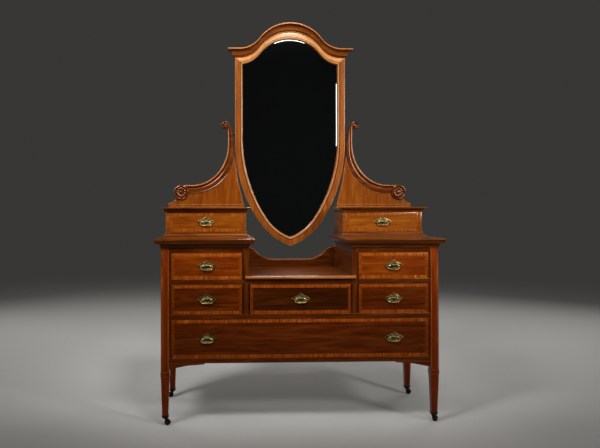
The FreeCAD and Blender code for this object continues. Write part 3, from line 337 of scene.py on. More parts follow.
def piece(shape, name, host, finishes, stands_for=(), crisp=22):
    """Makes an object of built faces; it rides with the host's body and stands for CAD nodes."""
    mesh = as_mesh(shape, name)
    for finish in finishes:
        mesh.materials.append(finish)
    mesh.polygons.foreach_set("use_smooth", [True] * len(mesh.polygons))
    mesh.set_sharp_from_angle(angle=math.radians(crisp))
    made = put(name, mesh)
    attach(made, body_of[host])
    if stands_for:
        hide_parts(*stands_for)
    return made


def pour(part, whole):
    """Adds one built shape, or a mesh, to another shape; the part is used up."""
    mesh = part if isinstance(part, bpy.types.Mesh) else as_mesh(part)
    whole.from_mesh(mesh)
    bpy.data.meshes.remove(mesh)
    return whole


def with_twin(shape):
    """A right-hand shape together with its left-hand twin."""
    mesh = as_mesh(shape)
    whole = bmesh.new()
    whole.from_mesh(mesh)
    mesh.transform(Matrix.Scale(-1, 4, (1, 0, 0)))
    mesh.flip_normals()
    return pour(mesh, whole)


def solids(node):
    """The separate solids of a CAD node, each with its loose triangles merged."""
    mesh = frame["nodes"][node].data
    spot = [tuple(round(c, 6) for c in vertex.co) for vertex in mesh.vertices]
    sides = {}
    for face in mesh.polygons:
        corners = [spot[index] for index in face.vertices]
        for pair in zip(corners, corners[1:] + corners[:1]):
            sides.setdefault(frozenset(pair), []).append(face.index)
    leader = list(range(len(mesh.polygons)))

    def lead(index):
        while leader[index] != index:
            index = leader[index]
        return index

    for users in sides.values():
        for first, second in zip(users[::2], users[1::2]):
            leader[lead(first)] = lead(second)
    groups = {}
    for face in mesh.polygons:
        groups.setdefault(lead(face.index), []).append([spot[index] for index in face.vertices])
    shapes = []
    for faces in groups.values():
        shape = bmesh.new()
        known = {corner: shape.verts.new(corner) for corner in dict.fromkeys(c for f in faces for c in f)}
        for corners in faces:
            joined = [known[corner] for corner in corners]
            if len(set(joined)) == 3 and not shape.faces.get(joined):
                shape.faces.new(joined)
        shapes.append(shape)
    return shapes


FLAT_ANGLE, SHARP_ANGLE = math.radians(0.5), math.radians(38)


def ease(shape, width, arris=3):
    """Rounds the sharp edges of a solid, as sandpaper does, and gives them the arris finish."""
    bmesh.ops.dissolve_limit(shape, angle_limit=FLAT_ANGLE, verts=shape.verts[:], edges=shape.edges[:])
    bmesh.ops.recalc_face_normals(shape, faces=shape.faces[:])
    sharp = [edge for edge in shape.edges
             if len(edge.link_faces) == 2 and edge.calc_face_angle(0) > SHARP_ANGLE]
    bmesh.ops.bevel(shape, geom=sharp, offset=width * MM, offset_type="OFFSET", segments=2, profile=0.5,
                    affect="EDGES", clamp_overlap=True, material=arris)


def grain_of(shape):
    """Index of the axis along which a board is longest."""
    spans = []
    for axis in range(3):
        places = [vertex.co[axis] for vertex in shape.verts]
        spans.append(max(places) - min(places))
    return spans.index(max(spans))


def eased(node, finishes, width=0.6, grain=None):
    """A CAD node with eased edges and the grain of each board along its length."""
    whole = bmesh.new()
    for shape in solids(node):
        axis = grain_of(shape) if grain is None else grain
        for face in shape.faces:
            face.material_index = axis
        ease(shape, width)
        pour(shape, whole)
    return piece(whole, f"{node}_finished", node, finishes, [node])


def loft(shape, rows, around=False, index=0, caps=False):
    """Skins rows of points in millimetres; around closes each row, caps fill the first and last."""
    grid = [[shape.verts.new(Vector(point) * MM) for point in row] for row in rows]
    faces = []
    for lower, upper in zip(grid, grid[1:]):
        count = len(lower)
        for step in range(count if around else count - 1):
            follow = (step + 1) % count
            faces.append(shape.faces.new((lower[step], lower[follow], upper[follow], upper[step])))
    if caps:
        faces.append(shape.faces.new(grid[0][::-1]))
        faces.append(shape.faces.new(grid[-1]))
    for face in faces:
        face.material_index = index
    return faces


def closed(shape, gap=0.002):
    """Merges doubles and turns all faces outwards."""
    bmesh.ops.remove_doubles(shape, verts=shape.verts[:], dist=gap * MM)
    bmesh.ops.dissolve_degenerate(shape, edges=shape.edges[:], dist=gap * MM)
    bmesh.ops.recalc_face_normals(shape, faces=shape.faces[:])
    return shape


def block(rows):
    """A closed solid through rows of points, with both ends filled."""
    shape = bmesh.new()
    loft(shape, rows, True, 0, True)
    return closed(shape)


def bend(first, last, count):
    """Evenly spread values from first to last."""
    return [first + (last - first) * step / count for step in range(count + 1)]


def whole_turn(count):
    """Even steps once round a circle."""
    return bend(0, 2 * math.pi, count)[:-1]


def tube(shape, path, radii, sides):
    """A round bar of changing thickness along a path that lies in a plane of constant Y."""
    depth = Vector((0, 1, 0))
    points = [Vector(point) for point in path]
    rows = []
    for step, point in enumerate(points):
        ahead = points[min(step + 1, len(points) - 1)]
        behind = points[max(step - 1, 0)]
        across = (ahead - behind).normalized().cross(depth)
        rows.append([point + (across * math.cos(turn) + depth * math.sin(turn)) * radii[step]
                     for turn in whole_turn(sides)])
    loft(shape, rows, True, 0, True)


def turned(shape, centre, profile, sides, index=0):
    """A lathe shape on an axis along Y: profile rows are (radius, y), from the front to the back."""
    x, z = centre
    rows = [[(x + radius * math.cos(turn), y, z + radius * math.sin(turn)) for turn in whole_turn(sides)]
            for radius, y in profile]
    loft(shape, rows, True, index, True)


# Geometry Nodes

def tree_with(name, inputs):
    """An empty node tree with a geometry in and out and named inputs; gives the tree and its input node."""
    tree = bpy.data.node_groups.new(name, "GeometryNodeTree")
    tree.interface.new_socket("Geometry", in_out="INPUT", socket_type="NodeSocketGeometry")
    for label, kind in inputs:
        tree.interface.new_socket(label, in_out="INPUT", socket_type=kind)
    tree.interface.new_socket("Geometry", in_out="OUTPUT", socket_type="NodeSocketGeometry")
    return tree, add(tree, "NodeGroupInput").outputs


def close_tree(tree, geometry, material):
    """Ends a tree: real meshes, smooth, with their finish."""
    real = add(tree, "GeometryNodeRealizeInstances", {"Geometry": geometry})
    smooth = add(tree, "GeometryNodeSetShadeSmooth", {"Geometry": real.outputs[0]})
    finish = add(tree, "GeometryNodeSetMaterial", {"Geometry": smooth.outputs[0], "Material": material})
    add(tree, "NodeGroupOutput", {0: finish.outputs[0]})
    return tree


def stringing_tree():
    """An inlaid line: a flat strip with a rounded top that follows a path."""
    tree, given = tree_with("stringing", [("Width", "NodeSocketFloat"), ("Material", "NodeSocketMaterial")])
    path = add(tree, "GeometryNodeMeshToCurve", {"Mesh": given["Geometry"]})
    half = add(tree, "ShaderNodeMath", {0: given["Width"], 1: 0.5}, operation="MULTIPLY")
    section = add(tree, "GeometryNodeCurvePrimitiveCircle", {"Resolution": 8, "Radius": half.outputs[0]})
    strip = add(tree, "GeometryNodeCurveToMesh", {0: path.outputs[0], 1: section.outputs[0],
                                                  "Fill Caps": True})
    return close_tree(tree, strip.outputs[0], given["Material"])


def beading_tree():
    """A row of beads: small balls at even spaces along a path."""
    tree, given = tree_with("beading", [("Spacing", "NodeSocketFloat"), ("Radius", "NodeSocketFloat"),
                                        ("Material", "NodeSocketMaterial")])
    path = add(tree, "GeometryNodeMeshToCurve", {"Mesh": given["Geometry"]})
    places = add(tree, "GeometryNodeCurveToPoints", {"Curve": path.outputs[0], "Length": given["Spacing"]},
                 mode="LENGTH")
    bead = add(tree, "GeometryNodeMeshIcoSphere", {"Radius": given["Radius"], "Subdivisions": 2})
    beads = add(tree, "GeometryNodeInstanceOnPoints", {"Points": places.outputs[0],
                                                       "Instance": bead.outputs[0]})
    return close_tree(tree, beads.outputs[0], given["Material"])


def rosette_tree():
    """Petals round a centre: the shape that is given, turned about Y in even steps."""
    tree, given = tree_with("rosette", [("Count", "NodeSocketInt"), ("Material", "NodeSocketMaterial")])
    point = add(tree, "GeometryNodeMeshLine", {"Count": given["Count"], "Offset": (0, 0, 0)})
    number = add(tree, "GeometryNodeInputIndex")
    step = add(tree, "ShaderNodeMath", {0: 2 * math.pi, 1: given["Count"]}, operation="DIVIDE")
    angle = add(tree, "ShaderNodeMath", {0: number.outputs[0], 1: step.outputs[0]}, operation="MULTIPLY")
    turn = add(tree, "ShaderNodeCombineXYZ", {"Y": angle.outputs[0]})
    petals = add(tree, "GeometryNodeInstanceOnPoints", {"Points": point.outputs[0],
                                                        "Instance": given["Geometry"],
                                                        "Rotation": turn.outputs[0]})
    return close_tree(tree, petals.outputs[0], given["Material"])


def row_tree():
    """A row of one shape at an even step, such as dovetail pins or screws."""
    tree, given = tree_with("row", [("Count", "NodeSocketInt"), ("Step", "NodeSocketVector"),
                                    ("Material", "NodeSocketMaterial")])
    line = add(tree, "GeometryNodeMeshLine", {"Count": given["Count"], "Offset": given["Step"]})
    copies = add(tree, "GeometryNodeInstanceOnPoints", {"Points": line.outputs[0],
                                                        "Instance": given["Geometry"]})
    return close_tree(tree, copies.outputs[0], given["Material"])


STRINGING = stringing_tree()
BEADING = beading_tree()
ROSETTE = rosette_tree()
ROW = row_tree()


def grown(tree, source, values):
    """The plain mesh that a tree makes of a source shape."""
    carrier = put("carrier", as_mesh(source))
    modifier = carrier.modifiers.new("grown", "NODES")
    modifier.node_group = tree
    for item in tree.interface.items_tree:
        if item.item_type == "SOCKET" and item.in_out == "INPUT" and item.name in values:
            modifier[item.identifier] = values[item.name]
    return final_mesh(carrier)


def paths(lines):
    """Edges through rows of points in millimetres; a row that ends where it starts is closed."""
    shape = bmesh.new()
    for line in lines:
        ring = Vector(line[0]) == Vector(line[-1])
        verts = [shape.verts.new(Vector(point) * MM) for point in (line[:-1] if ring else line)]
        for first, second in zip(verts, verts[1:]):
            shape.edges.new((first, second))
        if ring:
            shape.edges.new((verts[-1], verts[0]))
    return shape


def inlay(name, host, lines, width, finish):
    """Stringing along lines, let into a host node."""
    strip = grown(STRINGING, paths(lines), {"Width": width * MM, "Material": finish})
    return piece(pour(strip, bmesh.new()), name, host, [finish], crisp=60)


# Carcass: every board keeps its solid, with eased edges and its own grain.

for node in ("legs", "side_panels"):
    eased(node, mahogany)
eased("front_rails", framing)
lipped = eased("partitions", framing)
for face in lipped.data.polygons:
    if face.normal.y < -0.9:
        face.material_index = 2
# The nosing's front takes the pale arris finish: a painted highlight along the nosing.
nosed = eased("well_shelf", moulded, grain=0)
for face in nosed.data.polygons:
    if face.center.y < (FACE - 2) * MM and abs(face.normal.x) < 0.5 and face.normal.z > -0.5:
        face.material_index = 3
# The gallery's dark wood is painted shade of the well; its wide eased edges take the pale arris finish, a
# painted highlight.
eased("well_gallery", [gallery_wood] * 3 + moulded[3:], 1.6)
eased("back_boards", pine, 0.8)
eased("drawer_runners", pine, 0.5)
eased("mirror_backboard", pine, 0.6, 2)
eased("mirror_supports", [figured, figured, figured, mahogany[3]], 0.6, 2)
for drawer in DRAWERS:
    eased(f"{drawer}_box", oak, 0.5)


# Mouldings round three sides of the pedestal tops and of the jewel boxes, from the bottom up.

def curve(start, end, hollow, count=7):
    """Quarter of an oval between two points of a section; hollow ones bend inwards."""
    (out, low), (far, high) = start, end
    rows = []
    for turn in bend(0, math.pi / 2, count)[1:-1]:
        along, rise = (1 - math.cos(turn), math.sin(turn)) if hollow else (math.sin(turn), 1 - math.cos(turn))
        rows.append((out + (far - out) * along, low + (high - low) * rise))
    return rows


def moulding(inner, outer, front, rear, section):
    """Closed block whose section runs along the inner end, the front and the outer end."""
    shape = block([[(inner - out, rear, z), (inner - out, front - out, z), (outer + out, front - out, z),
                    (outer + out, rear, z)] for out, z in section])
    for face in shape.faces:
        across = abs(face.normal.x) > abs(face.normal.y) and abs(face.normal.z) < 0.95
        face.material_index = 1 if across else 0
    return shape


# Inner end, outer end, front and back of a pedestal and of a jewel box, behind their mouldings.
PEDESTAL = (218, 583, -235, 263)
JEWEL_CASE = (220, 582, 18, 257)
# Boards of the jewel boxes that end below this level are the base, which the moulding stands for.
BASE_LEVEL = 800

top_section = [(2, 739), (2, 742), (3, 742.6)] + curve((3, 742.6), (13.5, 753.5), True) + [(13.5, 753.5)]
top_section += curve((13.5, 753.5), (24, 765.5), False)
top_section += [(24, 765.5), (24.4, 767), (26.6, 767.4), (27, 768.2), (27, 773.4), (26.4, 774.6), (25.2, 775)]
top = moulding(*PEDESTAL, top_section)
piece(with_twin(top), "pedestal_tops_moulded", "pedestal_tops", moulded, ["pedestal_tops"], 30)

base_section = [(16, 772), (16, 777.4), (15.6, 778.6), (14.6, 779.2), (13.4, 779.4)]
base_section += [(13.4 - 9.6 * math.sin(turn), 779.4 + 11.6 * (1 - math.cos(turn)))
                 for turn in bend(0, math.pi / 2, 7)[1:]]
base_section += [(3.6, 791.8), (4.6, 792.6), (5, 794), (4.6, 795.4), (3.4, 796.4), (1.4, 796.8), (0, 797)]
cases = with_twin(moulding(*JEWEL_CASE, base_section))
for face in cases.faces:
    face.material_index += len(jewel_wood)
for board in solids("jewel_boxes"):
    if max(vertex.co.z for vertex in board.verts) < BASE_LEVEL * MM:
        board.free()
        continue
    for face in board.faces:
        face.material_index = grain_of(board)
    ease(board, 0.6)
    pour(board, cases)
# The lighter wood of the jewel boxes is painted light from above.
piece(cases, "jewel_boxes_moulded", "jewel_boxes", jewel_wood + moulded, ["jewel_boxes"], 30)

crown_section = [(3, 885.5), (3, 887.4), (4, 888)] + curve((4, 888), (16.4, 899.4), True) + [(16.4, 899.4)]
crown_section += [(18.4, 900), (18.8, 901.6), (20.4, 902), (21, 902.8), (21, 905.6), (20.4, 906.6),
                  (19.4, 907)]
crown = moulding(*JEWEL_CASE, crown_section)
piece(with_twin(crown), "jewel_tops_moulded", "jewel_tops", moulded, ["jewel_tops"], 30)


# Drawer fronts: a veneered field inside four mitred strips of crossbanding.

def keyhole(x, z, low, high, radius=2.4, slot_half=1.2, slot_drop=7):
    """A round hole with a slot under it, as a closed bar along Y."""
    outline = [(x + radius * math.cos(turn), z + radius * math.sin(turn))
               for turn in bend(-math.radians(60), math.radians(240), 20)]
    outline += [(x - slot_half, z - slot_drop), (x + slot_half, z - slot_drop)]
    return block([[(px, y, pz) for px, pz in outline] for y in (low, high)])


def cut_from(shape, tool):
    """The first shape less the second."""
    whole, knife = [put("cut", as_mesh(part)) for part in (shape, tool)]
    taking = whole.modifiers.new("cut", "BOOLEAN")
    taking.operation = "DIFFERENCE"
    taking.solver = "EXACT"
    taking.object = knife
    left = pour(final_mesh(whole), bmesh.new())
    bpy.data.batch_remove((knife, knife.data))
    return left


def drawer_front(drawer, field, crossbands):
    """A front board with eased edges, crossbanding and, on the upper drawers, a keyhole."""
    node = f"{drawer}_front"
    low, high = [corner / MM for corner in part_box(node)]
    front, back = low.y, high.y
    rows = []
    for inset, y in ((0.5, back), (0, back - 0.5), (0, front + 0.7), (0.2, front + 0.2), (0.7, front),
                     (BAND_WIDTH, front)):
        rows.append([(low.x + inset, y, low.z + inset), (high.x - inset, y, low.z + inset),
                     (high.x - inset, y, high.z - inset), (low.x + inset, y, high.z - inset)])
    shape = bmesh.new()
    faces = loft(shape, rows, True, 4, True)
    for place, face in enumerate(faces[-14:-2]):
        face.material_index = 1 + place % 2
    faces[-1].material_index = 0
    closed(shape)
    if drawer.startswith("upper"):
        middle = (low + high) / 2
        hole = middle.z + KEYHOLE_RISE
        shape = cut_from(shape, keyhole(middle.x, hole, front - 2, back + 2))
        # The keyhole's walls take the near-black finish: painted shade inside the hole.
        reach, drop, skin = 5, 9, 0.05
        for face in shape.faces:
            centre = face.calc_center_median() / MM
            inside = abs(centre.x - middle.x) < reach and abs(centre.z - hole) < drop
            if inside and front + skin < centre.y < back - skin:
                face.material_index = 3
    return piece(shape, f"{drawer}_veneered_front", node,
                 [field] + crossbands + [keyhole_shade, mahogany[0]], [node])


def dovetails(drawer):
    """Oak tails of the drawer's sides, lapped into the ends of its front."""
    low, high = [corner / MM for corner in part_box(f"{drawer}_front")]
    neck, tip, margin, pitch = high.y - 0.2, low.y + 6, 7, 40
    count = max(2, round((high.z - low.z) / pitch))
    step = (high.z - low.z - 2 * margin) / count
    middle = low.z + margin + step / 2
    narrow, wide = 0.26 * step, 0.37 * step
    outline = ((neck, -narrow), (tip, -wide), (tip, wide), (neck, narrow))
    whole = bmesh.new()
    for side, x in ((-1, low.x), (1, high.x)):
        tail = block([[(x + out * side, y, middle + z) for y, z in outline] for out in (-0.6, 0.2)])
        pour(grown(ROW, tail, {"Count": count, "Step": (0, 0, step * MM), "Material": oak[1]}), whole)
    return piece(whole, f"{drawer}_dovetails", f"{drawer}_box", [oak[1]])


KEYHOLE_RISE = 36
# Field and crossbanding of each tier of drawers: lighter and darker copies of the same woods, painted light
# on the jewel drawers, painted shade on the lower drawers and most of all under the well.
TIERS = {"jewel": (jewel_veneer, jewel_bands), "upper": (veneer, bands), "middle": (painted_shade_veneer, shaded_low_bands),
         "long": (painted_shade_veneer, shaded_low_bands)}
for drawer in DRAWERS:
    field, crossbands = TIERS[drawer.split("_")[0]]
    drawer_front(drawer, deepest_shade_veneer if drawer == "middle_centre" else field, crossbands)
for drawer in DRAWERS:
    dovetails(drawer)


# Handles: a pierced brass plate with a dished oval, scrolls, posts and a swinging bail.

PLATE_SIDE = ((4.6, 20.4), (10, 18.6), (15.5, 15.6), (21.5, 13.2), (26, 9.6), (30.5, 8.6), (34.5, 5.4),
              (40.5, 0.8), (36, -3.0), (32.4, -6.8), (27.4, -6.6), (23.6, -10.4), (16.8, -15.4), (9, -18.2),
              (4, -18.4))
PLATE_CREST = 25
PLATE_BASE = -20.5
WING_HOLE = ((25, 1.0), (27.6, 4.4), (31.4, 3.0), (32.2, -0.6), (29, -3.2))
CREST_HOLE = ((0, 19.6), (4.2, 15.4), (0, 14.0), (-4.2, 15.4))
PLATE_THICK, PLATE_BEVEL = 1.5, 0.3
OVAL_HALF, OVAL_RISE = 20.5, 13.5
POST_SPREAD = 17
POST_PROFILE = ((0.4, -11.5), (2.2, -11.2), (3.4, -10.2), (3.6, -10), (3.3, -9.4), (4, -9), (4.2, -8),
                (4.2, -5.4), (3.4, -4.8), (3.3, -3.4), (4.2, -2.8), (4.2, -0.2))
BEAD_INSET, BEAD_SPACING, BEAD_RADIUS = 4, 2.6, 0.75
BAIL_AXIS = 7
BAIL_WIRE = 3.8
LOCK_DEPTH = 10
# Ribs of the plate's right half, the wing's tip, the brow and the sill: path, how proud, and radii.
PLATE_RIBS = ((((34.6, 1), (37, 1.2), (39.4, 0.8)), 0.1, (1.5, 1.2, 0.5)),
              (((0.6, 23.2), (4, 19.8), (9, 17.4), (14.5, 14.6)), 0.2, (1.1, 1.0, 0.9, 0.6)),
              (((0.4, -18.6), (5, -17.0), (10, -16.4), (15.5, -14.2)), 0.2, (1.3, 0.9, 0.9, 0.6)))


def smooth_ring(points):
    """A closed smooth outline through points, read from a spline."""
    data = bpy.data.curves.new("ring", "CURVE")
    line = data.splines.new("BEZIER")
    line.bezier_points.add(len(points) - 1)
    for knot, (x, z) in zip(line.bezier_points, points):
        knot.co = (x, z, 0)
        knot.handle_left_type = knot.handle_right_type = "AUTO"
    line.use_cyclic_u = True
    line.resolution_u = 5
    mesh = final_mesh(put("ring", data))
    outline = [(vertex.co.x, vertex.co.y) for vertex in mesh.vertices]
    bpy.data.meshes.remove(mesh)
    return outline


def pierced_plate():
    """The flat of the back plate, cut to its outline, with its piercings and bevelled edges."""
    data = bpy.data.curves.new("plate", "CURVE")
    data.dimensions = "2D"
    data.fill_mode = "BOTH"
    data.extrude = (PLATE_THICK / 2 - PLATE_BEVEL) * MM
    data.bevel_depth = PLATE_BEVEL * MM
    data.bevel_resolution = 1
    right = [(0, PLATE_CREST)] + list(PLATE_SIDE) + [(0, PLATE_BASE)]
    left = [(-x, z) for x, z in reversed(PLATE_SIDE)]
    holes = [WING_HOLE, [(-x, z) for x, z in WING_HOLE], CREST_HOLE]
    for ring in [right + left] + holes:
        outline = smooth_ring(ring)
        line = data.splines.new("POLY")
        line.points.add(len(outline) - 1)
        for knot, (x, z) in zip(line.points, outline):
            knot.co = (x * MM, z * MM, 0, 1)
        line.use_cyclic_u = True
    mesh = final_mesh(put("plate", data))
    mesh.materials.clear()
    mesh.transform(Matrix.Translation((0, -PLATE_THICK / 2 * MM, 0)) @ Matrix.Rotation(math.pi / 2, 4, "X"))
    return mesh


def oval(half, rise, y, count=40):
    """Points of an upright oval at a depth."""
    return [(half * math.cos(turn), y, rise * math.sin(turn)) for turn in whole_turn(count)]


def back_plate():
    """Everything on a drawer front that doesn't move: plate, oval, rim, beads, scrolls and posts."""
    shape = bmesh.new()
    pour(closed(pour(pierced_plate(), bmesh.new())), shape)
    front = -PLATE_THICK
    rim_rows = ((0, -0.2), (0, front - 1.0), (-0.5, front - 1.8), (-1.4, front - 2.2), (-2.3, front - 1.8),
                (-2.8, front - 1.0), (-2.9, front - 0.3))
    # The dish round the boss takes the nearly black brass: painted shade in the groove.
    dish_rows = ((-2.9, front - 0.3), (-5.4, front - 0.2), (-6.4, front - 0.9))
    boss_rows = ((-6.4, front - 0.9), (-8, front - 2.2), (-10.5, front - 3.1), (-12.5, front - 3.4))
    rim = bmesh.new()
    for rows, index in ((rim_rows, 0), (dish_rows, 3), (boss_rows, 2)):
        loft(rim, [oval(OVAL_HALF + grow, OVAL_RISE + grow, y) for grow, y in rows], True, index)
    rim.faces.new([rim.verts.new(Vector(point) * MM) for point in oval(8, 1, front - 3.4)]).material_index = 2
    pour(closed(rim), shape)
    curls = bmesh.new()
    for side in (-1, 1):
        for rise in (-1, 1):
            path, radii = [], []
            for step in bend(0, 1, 12):
                turn = math.radians(200 - 250 * step)
                reach = 5.2 - 2.6 * step
                path.append((side * (28 + reach * 1.2 * math.cos(turn)), front - 0.2,
                             rise * (3.6 + reach * math.sin(turn) * 0.8)))
                radii.append(0.6 + 0.7 * math.sin(math.pi * step))
            tube(curls, path, radii, 8)
        for line, proud, radii in PLATE_RIBS:
            tube(curls, [(side * x, front - proud, z) for x, z in line], radii, 8)
    pour(closed(curls), shape)
    posts = bmesh.new()
    for side in (-1, 1):
        turned(posts, (side * POST_SPREAD, 0), POST_PROFILE, 20, 1)
    pour(closed(posts), shape)
    ring = oval(OVAL_HALF - BEAD_INSET, OVAL_RISE - BEAD_INSET, front - 0.7)
    sizes = {"Spacing": BEAD_SPACING * MM, "Radius": BEAD_RADIUS * MM, "Material": worn_brass}
    beads = grown(BEADING, paths([ring + ring[:1]]), sizes)
    beads.materials.clear()
    dotted = pour(beads, bmesh.new())
    for face in dotted.faces:
        face.material_index = 1
    pour(dotted, shape)
    return as_mesh(shape)


def bail_mesh():
    """The swinging bail: pins in the posts, elbows, tight corners and a wide arc with a collared grip."""
    elbow, corner, reach, sag, pin_start = 4, 11, 25.6, 16.1, 13.2
    hub = Vector((reach - corner, 0, -elbow))
    wide = (hub.x ** 2 + (sag + hub.z) ** 2 - corner ** 2) / (2 * (sag + hub.z - corner))
    top = wide - sag
    turn = math.atan2(top - hub.z, -hub.x)
    side = [(pin_start, 0, 0), (17, 0, 0), (reach - elbow, 0, 0)]
    side += [(reach - elbow + elbow * math.sin(a), 0, -elbow + elbow * math.cos(a))
             for a in bend(0, math.pi / 2, 5)[1:]]
    side += [(hub.x + corner * math.cos(a), 0, hub.z - corner * math.sin(a))
             for a in bend(0, math.pi - turn, 8)[1:]]
    sweep = math.asin(side[-1][0] / wide)
    under = [(wide * math.sin(a), 0, top - wide * math.cos(a)) for a in bend(sweep, -sweep, 16)[1:-1]]
    path = side + under + [(-x, y, z) for x, y, z in reversed(side)]
    radii = [1.55 + 0.75 * max(0.0, -z / sag) ** 2 for _, _, z in path]
    shape = bmesh.new()
    tube(shape, path, radii, 14)
    for place in (-9, 9):
        angle = math.asin(place / wide)
        middle = Vector((wide * math.sin(angle), 0, top - wide * math.cos(angle)))
        run = Vector((math.cos(angle), 0, math.sin(angle)))
        steps = (-1.6, -1.1, -0.4, 0.4, 1.1, 1.6)
        tube(shape, [middle + run * step for step in steps], (2.0, 2.9, 3.2, 3.2, 2.9, 2.0), 14)
    return as_mesh(closed(shape))


PLATE = back_plate()
BAIL = bail_mesh()


def set_at(mesh, x, y, z):
    """A copy of a mesh, moved to a place in millimetres."""
    placed = mesh.copy()
    placed.transform(Matrix.Translation(Vector((x, y, z)) * MM))
    return placed


def handle_spots(drawer):
    """The middle of each handle on a drawer, from the box of its CAD bail pins."""
    names = ("long_left_bail", "long_right_bail") if drawer == "long" else (f"{drawer}_bail",)
    face = JEWEL_FACE if drawer.startswith("jewel") else FACE
    spots = []
    for name in names:
        low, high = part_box(name)
        spots.append((name, (low.x + high.x) / 2 / MM, face, high.z / MM - BAIL_WIRE / 2))
    return spots


for drawer in DRAWERS:
    plates = bmesh.new()
    for bail_node, x, y, z in handle_spots(drawer):
        pour(set_at(PLATE, x, y, z), plates)
        grip = pour(set_at(BAIL, x, y - BAIL_AXIS, z), bmesh.new())
        piece(grip, f"{bail_node}_grip", bail_node, [worn_brass], [bail_node], 40)
    plate_node = "long_plates" if drawer == "long" else f"{drawer}_plate"
    for solid in solids(plate_node):
        behind = min(vertex.co.y for vertex in solid.verts) / MM > FACE + LOCK_DEPTH
        if drawer.startswith("upper") and behind:
            for face in solid.faces:
                face.material_index = 2
            ease(solid, 0.6, 1)
            pour(solid, plates)
        else:
            solid.free()
    piece(plates, f"{plate_node}_pierced", plate_node, [brass, worn_brass, dull_brass, black_brass],
          [plate_node], 40)


# Mirror: a shield-shaped frame with a moulded sight edge, bevelled glass and an arched cornice.

def head(x, apex):
    """Height of the arched head at a distance from its middle."""
    reach = abs(x)
    if reach >= HEAD_RUN:
        return apex - HEAD_RISE
    if reach > HEAD_RUN * 0.6:
        return apex - HEAD_RISE + FOOT_RADIUS - math.sqrt(FOOT_RADIUS ** 2 - (HEAD_RUN - reach) ** 2)
    return apex - CROWN_RADIUS + math.sqrt(CROWN_RADIUS ** 2 - reach ** 2)


SHIELD_STEPS = {"hip": 14, "side": 22, "upright": 12, "head": 56}


def shield(half, spring, tip, apex):
    """Outline of a shield from its tip, up the right side, over the head and down the left side."""
    drop = spring - tip
    run = math.sin(HIP_ANGLE) - math.sin(TIP_ANGLE)
    rise = math.cos(TIP_ANGLE) - math.cos(HIP_ANGLE)
    rest = 1 - math.sin(HIP_ANGLE)
    share = run * math.cos(HIP_ANGLE) - rest * rise
    low = (half * math.cos(HIP_ANGLE) - drop * rest) / share
    high = (drop * run - half * rise) / share
    side = [(low * (math.sin(turn) - math.sin(TIP_ANGLE)), tip + low * (math.cos(TIP_ANGLE) - math.cos(turn)))
            for turn in bend(TIP_ANGLE, HIP_ANGLE, SHIELD_STEPS["hip"])[1:]]
    side += [(half - high * (1 - math.sin(turn)), spring - high * math.cos(turn))
             for turn in bend(HIP_ANGLE, math.pi / 2, SHIELD_STEPS["side"])[1:]]
    side += [(half, z) for z in bend(spring, head(half, apex), SHIELD_STEPS["upright"])[1:]]
    over = [(x, head(x, apex)) for x in bend(half, -half, SHIELD_STEPS["head"])[1:-1]]
    return [(0, tip)] + side + over + [(-x, z) for x, z in reversed(side)]


def between(share):
    """Outline at a share of the way from the outside of the frame to its sight edge."""
    return [(a + (c - a) * share, b + (d - b) * share)
            for (a, b), (c, d) in zip(shield(**OUTER), shield(**SIGHT))]


# Section of the frame: share of the way to the sight edge, depth, and what the next strip is.
FRAME_SECTION = ((0, 247, "side"), (0, 225, "arris"), (0.03, 223, "arris"), (0.1, FRAME_FRONT, "flat"),
                 (0.66, FRAME_FRONT, "groove"), (0.675, 223.2, "groove"), (0.73, 223.2, "groove"),
                 (0.745, FRAME_FRONT, "flat"), (0.79, FRAME_FRONT, "line"), (0.81, 221.9, "line"),
                 (0.9, 222.6, "flat"), (0.955, 223.8, "flat"), (1, 227.4, "side"), (1, 232, "side"),
                 (0.78, 232, "side"), (0.78, FRAME_BACK, "side"), (0.03, FRAME_BACK, "side"),
                 (0, 247, "side"))


def mirror_frame():
    """Loft of the frame's section: flat front, scratched line, pale slip, slope to the glass and rebate."""
    shape = bmesh.new()
    faces = loft(shape, [[(x, y, z) for x, z in between(share)] for share, y, _ in FRAME_SECTION], True)
    count = len(between(0))
    over = SHIELD_STEPS["hip"] + SHIELD_STEPS["side"] + SHIELD_STEPS["upright"]
    # The outer arris's paler finish is partly a painted highlight; the scratched line's near-black finish is
    # painted shade.
    finishes = {"flat": 0, "line": 2, "side": 3, "arris": 4, "groove": 5}
    for index, face in enumerate(faces):
        band, step = divmod(index, count)
        kind = FRAME_SECTION[band][2]
        on_head = over <= step < count - over
        face.material_index = 1 if on_head and kind in ("flat", "arris") else finishes[kind]
    return piece(closed(shape), "mirror_frame_moulded", "mirror_frame",
                 [golden, satinwood, slip, mahogany[2], pale_arris, shadow], ["mirror_frame"], 28)


def mirror_plate():
    """Plate glass with a wide bevel all round, silvered."""
    low, high = [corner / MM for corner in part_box("mirror_glass")]
    edge, bevel_end, edge_fall, face_fall = 0.8, 1.15, 1.09, 0.05
    rows = ((edge, high.y), (edge, low.y + edge_fall), (bevel_end, low.y + face_fall))
    shape = block([[(x, y, z) for x, z in between(share)] for share, y in rows])
    return piece(shape, "mirror_plate_bevelled", "mirror_glass", [mirror_silver], ["mirror_glass"], 1.5)


